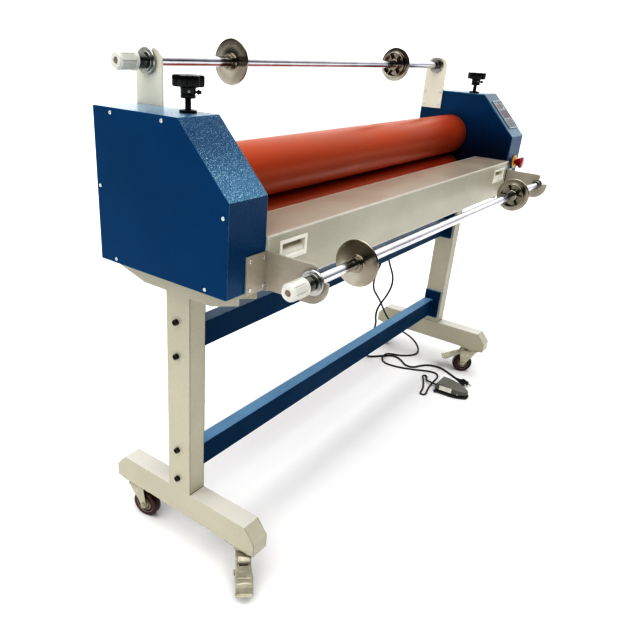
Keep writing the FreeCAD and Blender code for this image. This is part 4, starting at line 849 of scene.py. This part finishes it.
def core_disc(node, inward, y, z):
    """Polished flange with a stepped hub outside and a ribbed plug inside; the local
    origin is on the flange, FLANGE from the node's outer end."""
    low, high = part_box(node)
    x = low.x + FLANGE * MM if inward > 0 else high.x - FLANGE * MM
    bm = bmesh.new()
    lathe(bm, [(11.5, -12.0), (15.6, -12.0), (16.4, -11.4), (16.4, -9.2), (15.0, -8.6), (15.0, -7.2),
        (16.9, -6.6), (17.0, -6.0), (17.0, -2.4), (18.6, -1.6), (19.4, -0.2), (21.0, 0.0), (34.0, 0.25),
        (46.6, 0.0), (48.8, 0.15), (49.8, 0.9), (50.0, 2.0), (50.0, 3.6), (49.2, 4.8), (48.0, 5.0),
        (38.6, 5.0), (37.6, 5.6), (37.5, 6.4), (37.5, 18.8), (36.6, 20.0), (34.8, 20.0), (34.0, 19.2),
        (34.0, 6.2), (33.2, 5.1), (18.2, 5.1), (17.0, 6.0), (17.0, 19.0), (16.0, 20.0), (11.5, 20.0)], 96)
    for k in range(6):
        turn = Matrix.Rotation(math.radians(60 * k + 30), 4, "Z")
        outline = rounded_rectangle(16.0, 35.0, -1.5, 1.5, 0.5, 2)
        rings = []
        for h, inset in ((5.0, 0.0), (16.8, 0.0), (17.8, 0.5)):
            rings.append([turn @ Vector((px, py * (1 - inset * 0.4), h)) for px, py in outline])
        skin(bm, rings)
    for angle in (40.0, 160.0, 280.0):
        a = math.radians(angle)
        path = [(r * math.cos(a), r * math.sin(a), -4.2) for r in (16.0, 16.6, 17.1)]
        tube(bm, path, 1.7, 12)
    return piece(node + "_turned", bm, "disc_metal", node, along_x(x, y, z, inward), 30.0)


for name, rod_y, rod_z, right_plate in (("front", front_y, front_z, 17.0), ("top", top_y, top_z, 26.0)):
    rod_hardware(name, rod_y, rod_z, right_plate)
    tension_nut(name, rod_y, rod_z)
    core_disc(name + "_left_core_disc", 1, rod_y, rod_z)
    core_disc(name + "_right_core_disc", -1, rod_y, rod_z)


# ------------------------------------------------------------------ handwheels
WHEEL_Y, THREAD_PITCH = 47.0, 2.0


def handwheel(side, x, y):
    """Lobed phenolic knob, hub with two clamping screws, threaded pressure screw."""
    node = side + "_handwheel"

    def lobed(a, r, h):
        if r < 20:
            return r
        wave = math.tanh(2.4 * math.cos(7 * a)) / math.tanh(2.4)
        return r * (28.1 + 2.9 * wave) / 31.0

    bm = bmesh.new()
    lathe(bm, [(0, 1116.0), (24.0, 1116.0), (28.6, 1116.4), (30.4, 1117.6), (31.0, 1119.4), (31.0, 1133.2),
        (30.4, 1135.4), (29.0, 1136.6), (26.5, 1137.0), (19.9, 1137.0), (18.8, 1136.5), (18.0, 1136.2),
        (0, 1136.2)], 154, (0, 0), lobed)
    lathe(bm, [(0, 1096.0), (13.4, 1096.0), (14.5, 1097.2), (14.5, 1101.6), (13.7, 1102.2), (13.7, 1103.2),
        (14.5, 1103.8), (14.5, 1112.4), (15.4, 1115.0), (17.2, 1116.3), (0, 1116.3)], 48)
    place = Matrix.Translation(mm(x, y, 0))
    piece(node + "_knob", bm, "black_plastic", node, place)

    def thread(a, r, h):
        if r < 5 or not 1071 < h < 1096.5:
            return r
        return r - 0.55 * (0.5 + 0.5 * math.cos(2 * math.pi * h / THREAD_PITCH - a))

    outline = [(0, 980.5), (5.2, 980.5), (6.0, 981.5), (6.0, 1070.0)]
    outline += [(6.0, 1070.0 + 0.25 * k) for k in range(1, 108)]
    outline += [(6.0, 1131.0), (0, 1131.0)]
    bm = bmesh.new()
    lathe(bm, outline, 20, (0, 0), thread)
    piece(node + "_screw", bm, "bolt_black", node, place, 60.0, stands_in=False)

    bm = bmesh.new()
    lathe(bm, [(0, 14.0), (2.0, 14.0), (2.0, 17.2), (3.4, 17.8), (4.4, 18.8), (4.4, 20.6), (3.6, 21.6),
        (3.0, 22.0), (3.0, 24.4), (2.4, 25.2), (0, 25.2)], 20)
    turn = Vector((0.6, -0.8, 0.0)).to_track_quat("Z", "Y").to_matrix().to_4x4()
    piece(node + "_thumb_screw", bm, "bolt_black", node, Matrix.Translation(mm(x, y, 1107)) @ turn,
        stands_in=False)
    bm = bmesh.new()
    lathe(bm, [(0, 13.0), (2.6, 13.0), (2.6, 14.5), (2.1, 15.1), (1.3, 15.1), (1.2, 14.2), (0, 14.2)], 20)
    turn = Vector((-0.62, -0.78, 0.0)).to_track_quat("Z", "Y").to_matrix().to_4x4()
    piece(node + "_set_screw", bm, "screw_silver", node, Matrix.Translation(mm(x, y, 1108.5)) @ turn,
        stands_in=False)


bushes = bmesh.new()
for side, wheel_x in (("left", -733.0), ("right", 733.0)):
    handwheel(side, wheel_x, WHEEL_Y)
    lathe(bushes, [(6.4, 1058.2), (8.8, 1058.2), (8.8, 1070.1), (16.2, 1070.1), (17.0, 1070.8),
        (17.0, 1073.8), (15.8, 1075.0), (11.6, 1075.3), (10.8, 1076.0), (6.4, 1076.0)], 48,
        (wheel_x, WHEEL_Y))
piece("pressure_bush_flanges", bushes, "black_plastic", "pressure_bushes")


# ------------------------------------------------------------------ controls
SLOPE = math.atan2(131.0, 126.5)
STOP_KEY_X, START_KEY_X, KEY_UP = 748.0, 791.0, 131.0     # the keys; KEY_UP is along the slope


def slope_place():
    return Matrix.Translation(mm(0, -131.0, 939.0)) @ Matrix.Rotation(SLOPE, 4, "X")


def control_panel():
    """Framed membrane keypad: border, two dividers, blank window, small blank keys."""
    place = slope_place()
    bm = bmesh.new()
    slab(bm, rounded_rectangle(727, 811, 34, 150, 2), 0.05, 1.9, 0.3)
    piece("control_panel_plate", bm, "panel_grey", "control_panel", place)
    bm = bmesh.new()
    bars = [(727, 811, 34, 37), (727, 811, 147, 150), (727, 730, 34, 150), (808, 811, 34, 150),
        (729, 809, 72.5, 74.5), (729, 809, 110.5, 112)]
    for x0, x1, s0, s1 in bars:
        slab(bm, rounded_rectangle(x0, x1, s0, s1, 0.7, 3), 0.5, 3.0, 0.5)
    piece("control_panel_frame", bm, "panel_frame", "control_panel", place, stands_in=False)
    bm = bmesh.new()
    slab(bm, rounded_rectangle(736, 802, 79, 106, 1.5, 3), 1.5, 2.25, 0.2)
    piece("control_panel_window", bm, "panel_window", "control_panel", place, stands_in=False)
    bm = bmesh.new()
    for row in range(3):
        for column in range(3):
            cx, cs = 744 + 25 * column, 44.5 + 11 * row
            slab(bm, rounded_rectangle(cx - 8.5, cx + 8.5, cs - 3.6, cs + 3.6, 1.4, 3), 1.5, 2.5, 0.3)
    piece("control_panel_pads", bm, "panel_pads", "control_panel", place, stands_in=False)
    bm = bmesh.new()
    for x in (STOP_KEY_X, START_KEY_X):
        lathe(bm, [(7.3, 1.5), (9.2, 1.5), (9.2, 2.6), (8.6, 3.1), (7.7, 3.1), (7.3, 2.7)], 40, (x, KEY_UP))
    slab(bm, rounded_rectangle(783, 799, 114.5, 119.5, 1.2, 3), 1.5, 2.4, 0.25)
    piece("control_panel_bezels", bm, "panel_frame", "control_panel", place, stands_in=False)


def key(node, x, slot):
    bm = bmesh.new()
    lathe(bm, [(0, 1.3), (6.9, 1.3), (7.0, 3.0), (6.6, 3.7), (5.6, 4.05), (3.0, 4.18), (0, 4.2)], 40,
        (x, KEY_UP))
    piece(node + "_cap", bm, slot, node, slope_place())


control_panel()
key("stop_key", STOP_KEY_X, "key_red")
key("start_key", START_KEY_X, "key_green")

stop_place = Matrix.Translation(mm(774, -131, 849)) @ Matrix.Rotation(math.radians(90), 4, "X")
stop = bmesh.new()
lathe(stop, [(8.3, 0.1), (23.2, 0.1), (23.6, 0.8), (23.6, 2.6), (22.6, 4.2), (20.6, 5.0), (13.2, 5.0),
    (12.6, 4.2), (8.3, 4.2)], 64)
lathe(stop, [(8.3, -26.0), (10.7, -26.0), (10.7, 0.2), (8.3, 0.2)], 32)
slab(stop, rounded_rectangle(-15, 15, -20, 20, 2), -62, -26, 0.8)
piece("emergency_stop_collar", stop, "stop_yellow", "emergency_stop_body", stop_place)
stop = bmesh.new()
lathe(stop, [(0, -11.9), (7.9, -11.9), (7.9, 9.0), (9.4, 10.6), (11.6, 11.6), (12.6, 13.4), (14.0, 18.0),
    (16.4, 22.0), (19.0, 24.2), (19.9, 25.6), (20.0, 27.4), (19.4, 29.6), (17.6, 31.4), (14.6, 32.5),
    (14.0, 32.3), (13.4, 32.8), (8.0, 33.4), (0, 33.5)], 64)
piece("emergency_stop_mushroom", stop, "stop_red", "emergency_stop_head", stop_place, 25.0)


# ------------------------------------------------------------------ stand and table trim
COLUMN_IN, COLUMN_OUT, COLUMN_FRONT = 709.0, 759.0, 18.0
FOOT_TOP, FOOT_FRONT, FOOT_CUT_Y, FOOT_CUT_Z = 180.0, -186.0, 30.0, 35.0


def seams(side):
    """Thin joint lines of the column's front strip and of the foot's closed end."""
    sign = -1 if side == "left" else 1
    bm = bmesh.new()
    for x in (COLUMN_IN + 0.9, COLUMN_OUT - 0.9):
        tube(bm, [(sign * x, COLUMN_FRONT + 0.35, z) for z in (FOOT_TOP, 400, 735)], 0.75, 8)
    base = [(COLUMN_IN, COLUMN_FRONT), (COLUMN_OUT, COLUMN_FRONT)]
    tube(bm, [(sign * x, y + 0.1, FOOT_TOP + 0.3) for x, y in base], 0.7, 8)
    tube(bm, [(sign * (COLUMN_IN - 0.1), y, FOOT_TOP + 0.3) for y in (18.0, 88.0)], 0.7, 8)
    piece(side + "_column_seams", bm, "seam_shade", side + "_column", stands_in=False)
    bm = bmesh.new()
    for x in (COLUMN_IN + 0.5, COLUMN_OUT - 0.5):
        path = [(FOOT_FRONT + FOOT_CUT_Y, FOOT_TOP), (FOOT_FRONT + 0.2, FOOT_TOP - FOOT_CUT_Z),
            (FOOT_FRONT + 0.2, 110.5)]
        tube(bm, [(sign * x, y, z) for y, z in path], 0.75, 8)
    piece(side + "_foot_seams", bm, "foot_seam", "foot_beams", stands_in=False)


seams("left")
seams("right")
strips = bmesh.new()
for sign in (-1, 1):
    corners = ((697.0, -135.2), (700.9, -135.2), (700.9, -131.1), (697.0, -131.1))
    slab(strips, [(sign * x, y) for x, y in corners], 829.3, 858.5)
# Painted shade: a thin black strip on the feed table's front at its right-hand end, for the shadowed gap
# beside the bracket.
shade_mesh = bmesh.new()
slab(shade_mesh, [(690.4, -137.3), (696.6, -137.3), (696.6, -136.6), (690.4, -136.6)], 747, 857)
piece("table_end_gap", shade_mesh, "bolt_black", "feed_table", stands_in=False)
piece("table_end_strips", strips, "table_beige", "feed_table", stands_in=False)


# ------------------------------------------------------------------ casters
TRAIL, WHEEL_R, SHEET = 27.5, 37.5, 1.6     # swivel to axle, wheel radius, pressed sheet
RAISED_BRAKE = math.radians(30)
ACROSS = 29     # points across a brake pedal
joints = {joint["name"]: joint for joint in frame["joints"]}


def caster_place(name):
    """Local X along the axle, Y along the trail, Z up, origin under the swivel."""
    swivel = centre_of(name + "_wheel")
    axle = Vector(joints[name + "_roll"]["axis"]).normalized()
    trail = Vector((-axle.y, axle.x, 0.0))
    place = Matrix((axle, trail, Vector((0, 0, 1)))).transposed().to_4x4()
    place.translation = Vector((swivel.x, swivel.y, 0.0)) - trail * TRAIL * MM
    return place


def caster_wheel(name):
    """Polyurethane tread on a dished centre with concentric steps and a bearing cap."""
    node = name + "_wheel"
    place = caster_place(name) @ moved(0, TRAIL * MM, WHEEL_R * MM, 90, "Y")
    half = [(4.4, 14.0), (9.6, 14.0), (10.8, 13.2), (11.6, 10.6), (12.6, 9.8), (14.6, 9.8), (15.2, 11.0),
        (18.6, 11.0), (19.4, 9.6), (20.0, 9.0), (25.6, 9.2), (26.6, 10.4), (27.4, 11.9), (33.6, 12.0),
        (35.6, 11.4), (37.0, 9.8), (37.5, 7.0)]
    outline = half + [(r, -h) for r, h in reversed(half)]
    bm = bmesh.new()
    lathe(bm, outline, 72)
    piece(node + "_tread", bm, "wheel_red", node, place, 28.0)


def brake_pedal(name):
    """Pressed lever with turned-down sides, an embossed panel and a rolled lip."""
    node = name + "_brake_pedal"
    pivot = mm(0, 40, 78)
    raised = joints[name + "_brake_press"]["range_deg"][1] > 1
    place = caster_place(name)
    if raised:
        lift = Matrix.Rotation(RAISED_BRAKE, 4, "X")
        place = place @ Matrix.Translation(pivot) @ lift @ Matrix.Translation(-pivot)
    line = filleted([(50.0, 81.6), (60.0, 67.6, 9.0), (86.5, 28.2, 5.0), (91.5, 26.6)], 6)
    path = []
    for a, b in zip(line, line[1:]):
        count = max(1, int((b - a).length / 1.6))
        path += [a.lerp(b, k / count) for k in range(count)]
    path.append(line[-1])
    total = len(path) - 1
    rings = []
    for i, p in enumerate(path):
        along = (path[min(total, i + 1)] - path[max(0, i - 1)]).normalized()
        out = Vector((-along.y, along.x))
        if out.y < 0:
            out = -out
        t = i / total
        half_w = 21.9 - 3.0 * math.exp(-((1 - t) / 0.035) ** 2) - 3.4 * math.exp(-(t / 0.32) ** 2)
        ring_top, ring_under = [], []
        for j in range(ACROSS):
            s = 2 * j / (ACROSS - 1) - 1
            u = half_w * s
            lip = -2.4 * max(0.0, (abs(s) - 0.88) / 0.12) ** 2
            panel = 1.5 if abs(s) < 0.72 and 0.14 < t < 0.44 else 0.0
            bow = 0.60 + 0.05 * s * s
            ridge = 1.3 * math.exp(-((t - bow) / 0.03) ** 2) * (1 if abs(s) < 0.86 else 0)
            dish = 0.9 if abs(s) < 0.8 and 0.68 < t < 0.93 else 0.0
            rise = lip - panel + ridge - dish
            ring_top.append((u, *(p + out * rise)))
            ring_under.append((u, *(p + out * (rise - SHEET))))
        rings.append(ring_top + ring_under[::-1])
    bm = bmesh.new()
    skin(bm, rings)
    tube(bm, [(u, 91.0, 26.4) for u in (-18.6, -17, 0, 17, 18.6)], 2.7, 14)
    for x0 in (-13.6, 11.8):
        ear = [(-5, -3.6), (6, -3.9), (16.5, -8.8), (18.6, -10.6), (10.4, 2.2), (3.5, 4.6), (-3.4, 4.4)]
        skin(bm, [[(x, 40 + a, 78 + b) for a, b in ear] for x in (x0, x0 + 1.8)])
    piece(node + "_pressing", bm, "caster_zinc", node, place, 40.0)


def caster_trim(name):
    """Axle nuts, king pin cap and the rolled race under the mounting plate."""
    node = name + "_caster_fork"
    place = caster_place(name)
    bm = bmesh.new()
    turn = Matrix.Rotation(math.radians(90), 4, "Y")
    for sign in (-1, 1):
        part = bmesh.new()
        slab(part, hexagon(6.9, 15), 17.6, 21.2, 0.5)
        lathe(part, [(0, 21.0), (3.6, 21.0), (3.4, 22.0), (0, 22.0)], 16)
        lathe(part, [(0, 17.5), (8.4, 17.5), (8.4, 18.2), (0, 18.2)], 24)
        merge(bm, part, Matrix.Translation((0, TRAIL, WHEEL_R)) @ turn @ Matrix.Scale(sign, 4, (0, 0, 1)))
    lathe(bm, [(14.0, 96.1), (21.2, 96.1), (22.6, 97.0), (23.0, 99.0), (22.0, 100.2), (23.0, 101.4),
        (22.6, 104.6), (21.0, 106.0), (14.0, 106.0)], 40)
    line = filleted([(16.0, 95.6), (35.0, 95.2, 8.0), (43.0, 88.0, 2.0), (43.6, 84.5)], 6)
    rings = []
    for i, p in enumerate(line):
        along = (line[min(i + 1, len(line) - 1)] - line[max(i - 1, 0)]).normalized()
        inner = p + Vector((along.y, -along.x)) * -SHEET
        if inner.y > p.y:
            inner = p + Vector((along.y, -along.x)) * SHEET
        half = 19.0 - 3.5 * (i / (len(line) - 1)) ** 2
        rings.append([(x, *q) for x, q in ((-half, p), (-half * 0.5, p), (half * 0.5, p), (half, p),
            (half, inner), (-half, inner))])
    skin(bm, rings)
    piece(name + "_caster_trim", bm, "caster_zinc", node, place, stands_in=False)


for caster in ("front_left", "front_right", "rear_left", "rear_right"):
    caster_wheel(caster)
    caster_trim(caster)
for caster in ("front_left", "front_right"):
    brake_pedal(caster)


# ------------------------------------------------------------------ foot pedal
PEDAL_X, PEDAL_REAR, PEDAL_NOSE = 508.0, -108.0, -224.0
BEND_Y, REAR_Z, NOSE_Z = PEDAL_REAR - 30, 38.8, 27.2     # the treadle is level behind BEND_Y


def pedal_plan(grow):
    """Plan outline: straight rear edge, gently bulged sides, rounded nose."""
    half = 38.0 + grow
    rear, nose = PEDAL_REAR + grow, PEDAL_NOSE - grow
    right = []
    for k in range(15):
        t = k / 14
        y = rear + (nose + 4 - rear) * t
        if t < 0.57:
            bulge = half - 3 * (t / 0.57) ** 2
        else:
            bulge = half - 3 - (half - 17 - grow) * ((t - 0.57) / 0.43) ** 1.7
        right.append((bulge, y))
    tip = [(14 + grow - 4.5 * k, nose + 4 - 4 * math.sin(math.pi / 2 * min(1.0, 0.4 * k))) for k in (1, 2)]
    outline = right + tip + [(0.0, nose)]
    return outline + [(-x, y) for x, y in reversed(right + tip)]


def treadle_top(y):
    if y > BEND_Y:
        return REAR_Z
    return REAR_Z + (NOSE_Z - REAR_Z) * (BEND_Y - y) / (BEND_Y - PEDAL_NOSE - 4)


def foot_pedal():
    middle = Vector((0.0, (PEDAL_REAR + PEDAL_NOSE) / 2))

    def outline(grow, height, shrink=1.0):
        """Plan outline at a height, or that far below the treadle's top if it is not above 0."""
        points = []
        for x, y in pedal_plan(grow):
            p = middle + (Vector((x, y)) - middle) * shrink
            points.append((PEDAL_X + p.x, p.y, height if height > 0 else treadle_top(p.y) + height))
        return points

    shell = ((-1.6, 13.6), (-0.2, 13.6), (0.0, 14.2), (-0.4, 22.0), (-0.8, 22.4), (-0.8, 23.2),
        (-0.6, 23.6), (-1.0, -3.4), (-1.5, -1.4), (-2.6, -0.3), (-3.8, 0.0))
    rings = [outline(grow, height) for grow, height in shell]
    rings += [outline(-3.8, 0.0, shrink) for shrink in (0.86, 0.72, 0.58, 0.44, 0.3, 0.16, 0.04)]
    bm = bmesh.new()
    skin(bm, rings)
    piece("pedal_treadle_shell", bm, "pedal_grey", "pedal_treadle")
    bm = bmesh.new()
    plan = [p for p in pedal_plan(0.0) if p[0] < 0 and -176 < p[1] < -118]
    label = ((0.2, 15.6), (-0.55, 15.6), (-0.2, 34.6), (0.9, 34.6))
    skin(bm, [[(PEDAL_X + x + dx, y, z) for dx, z in label] for x, y in plan])
    piece("pedal_blank_label", bm, "label_white", "pedal_treadle", stands_in=False)
    bm = bmesh.new()
    for sign in (-1, 1):
        pin = bmesh.new()
        lathe(pin, [(0, 27.0), (2.7, 27.0), (2.7, 33.8), (2.0, 34.4), (0, 34.4)], 20)
        merge(bm, pin, moved(PEDAL_X, -196, 17.5, 90 * sign, "Y"))
    piece("pedal_pin_ends", bm, "screw_silver", "pedal_treadle", stands_in=False)
    bm = bmesh.new()
    tray = ((1.6, 0.2), (3.0, 1.4), (3.0, 6.6), (2.0, 8.0), (-5.0, 8.2), (-6.0, 9.0))
    skin(bm, [outline(grow, height) for grow, height in tray])
    relief = bmesh.new()
    ribbed_relief(relief, 5.4, 4.4, 29, 5)
    merge(bm, relief, moved(PEDAL_X, -121.8, 11, -90, "X"))
    lug = bmesh.new()
    lathe(lug, [(0, -17.0), (3.2, -17.0), (4.0, -16.2), (4.0, 0.0), (0, 0.0)], 20)
    merge(bm, lug, moved(PEDAL_X - 30, PEDAL_REAR - 5, 4.8, 90, "Y"))
    piece("pedal_base_moulding", bm, "pedal_dark", "pedal_base")


foot_pedal()


# ------------------------------------------------------------------ studio
def floor():
    f = Finish("studio_floor", specular=0.2)
    cloud = f.span(f.noise(0.6, 2.0), 0.3, 0.7)
    colour = f.mix(cloud, (0.945, 0.945, 0.945), (0.96, 0.96, 0.96))
    LOOKS["studio_floor"] = f.finish(colour, f.span(cloud, 0.0, 1.0, 0.7, 0.8))
    bm = bmesh.new()
    stops = [-60.0 + 15.0 * k for k in range(9)]
    grid = [[bm.verts.new((x, y, 0.0)) for x in stops] for y in stops]
    for a, b in zip(grid, grid[1:]):
        for i in range(8):
            bm.faces.new((a[i], a[i + 1], b[i + 1], b[i]))
    mesh = bpy.data.meshes.new("studio_floor")
    bm.to_mesh(mesh)
    bm.free()
    show("studio_floor", mesh, "studio_floor")


floor()


def sky_light(name, direction, strength, softness):
    data = bpy.data.lights.new(name, "SUN")
    data.energy = strength
    data.angle = math.radians(softness)
    lamp = bpy.data.objects.new(name, data)
    bpy.context.scene.collection.objects.link(lamp)
    lamp.matrix_world = Vector(direction).to_track_quat("-Z", "Y").to_matrix().to_4x4()


# Brightest towards a direction: the direction, cosines where the ramp starts and ends,
# strengths there.
SOFT_SKY = ((-0.8, 0.1, 0.6), -0.5, 0.9, 0.05, 0.46)
MIRRORED_SKY = ((0.73, 0.54, 0.43), 0.15, 0.98, 0.05, 1.15)
WHITE_SKY = ((0.0, 0.0, 1.0), -3.0, -2.0, 1.0, 1.0)


def studio_world():
    """White backdrop to the eye. As light it is soft from the left and above; in
    reflections it is bright behind the machine and dim on the operator's side."""
    world = bpy.data.worlds.new("studio")
    bpy.context.scene.world = world
    world.use_nodes = True
    tree = world.node_tree
    tree.nodes.clear()
    output = tree.nodes.new("ShaderNodeOutputWorld")
    where = tree.nodes.new("ShaderNodeTexCoord")
    path = tree.nodes.new("ShaderNodeLightPath")

    def sky(direction, low, high, dim, bright):
        dot = tree.nodes.new("ShaderNodeVectorMath")
        dot.operation = "DOT_PRODUCT"
        dot.inputs[1].default_value = Vector(direction).normalized()
        tree.links.new(where.outputs["Generated"], dot.inputs[0])
        ramp = tree.nodes.new("ShaderNodeMapRange")
        ramp.interpolation_type = "SMOOTHSTEP"
        for socket, value in zip(list(ramp.inputs)[1:5], (low, high, dim, bright)):
            socket.default_value = value
        tree.links.new(dot.outputs["Value"], ramp.inputs[0])
        shade = tree.nodes.new("ShaderNodeBackground")
        shade.inputs["Color"].default_value = (1.0, 1.0, 1.0, 1.0)
        tree.links.new(ramp.outputs[0], shade.inputs["Strength"])
        return shade.outputs[0]

    def choose(chance, a, b):
        join = tree.nodes.new("ShaderNodeMixShader")
        tree.links.new(chance, join.inputs[0])
        tree.links.new(a, join.inputs[1])
        tree.links.new(b, join.inputs[2])
        return join.outputs[0]

    light = choose(path.outputs["Is Glossy Ray"], sky(*SOFT_SKY), sky(*MIRRORED_SKY))
    tree.links.new(choose(path.outputs["Is Camera Ray"], light, sky(*WHITE_SKY)), output.inputs[0])


studio_world()
sky_light("overhead_sun", (0.2, 0.1, -1.0), 1.8, 75.0)
bpy.context.scene.view_settings.view_transform = "Standard"
bpy.context.scene.view_settings.look = "Very High Contrast"
bpy.context.scene.view_settings.exposure = 0.0
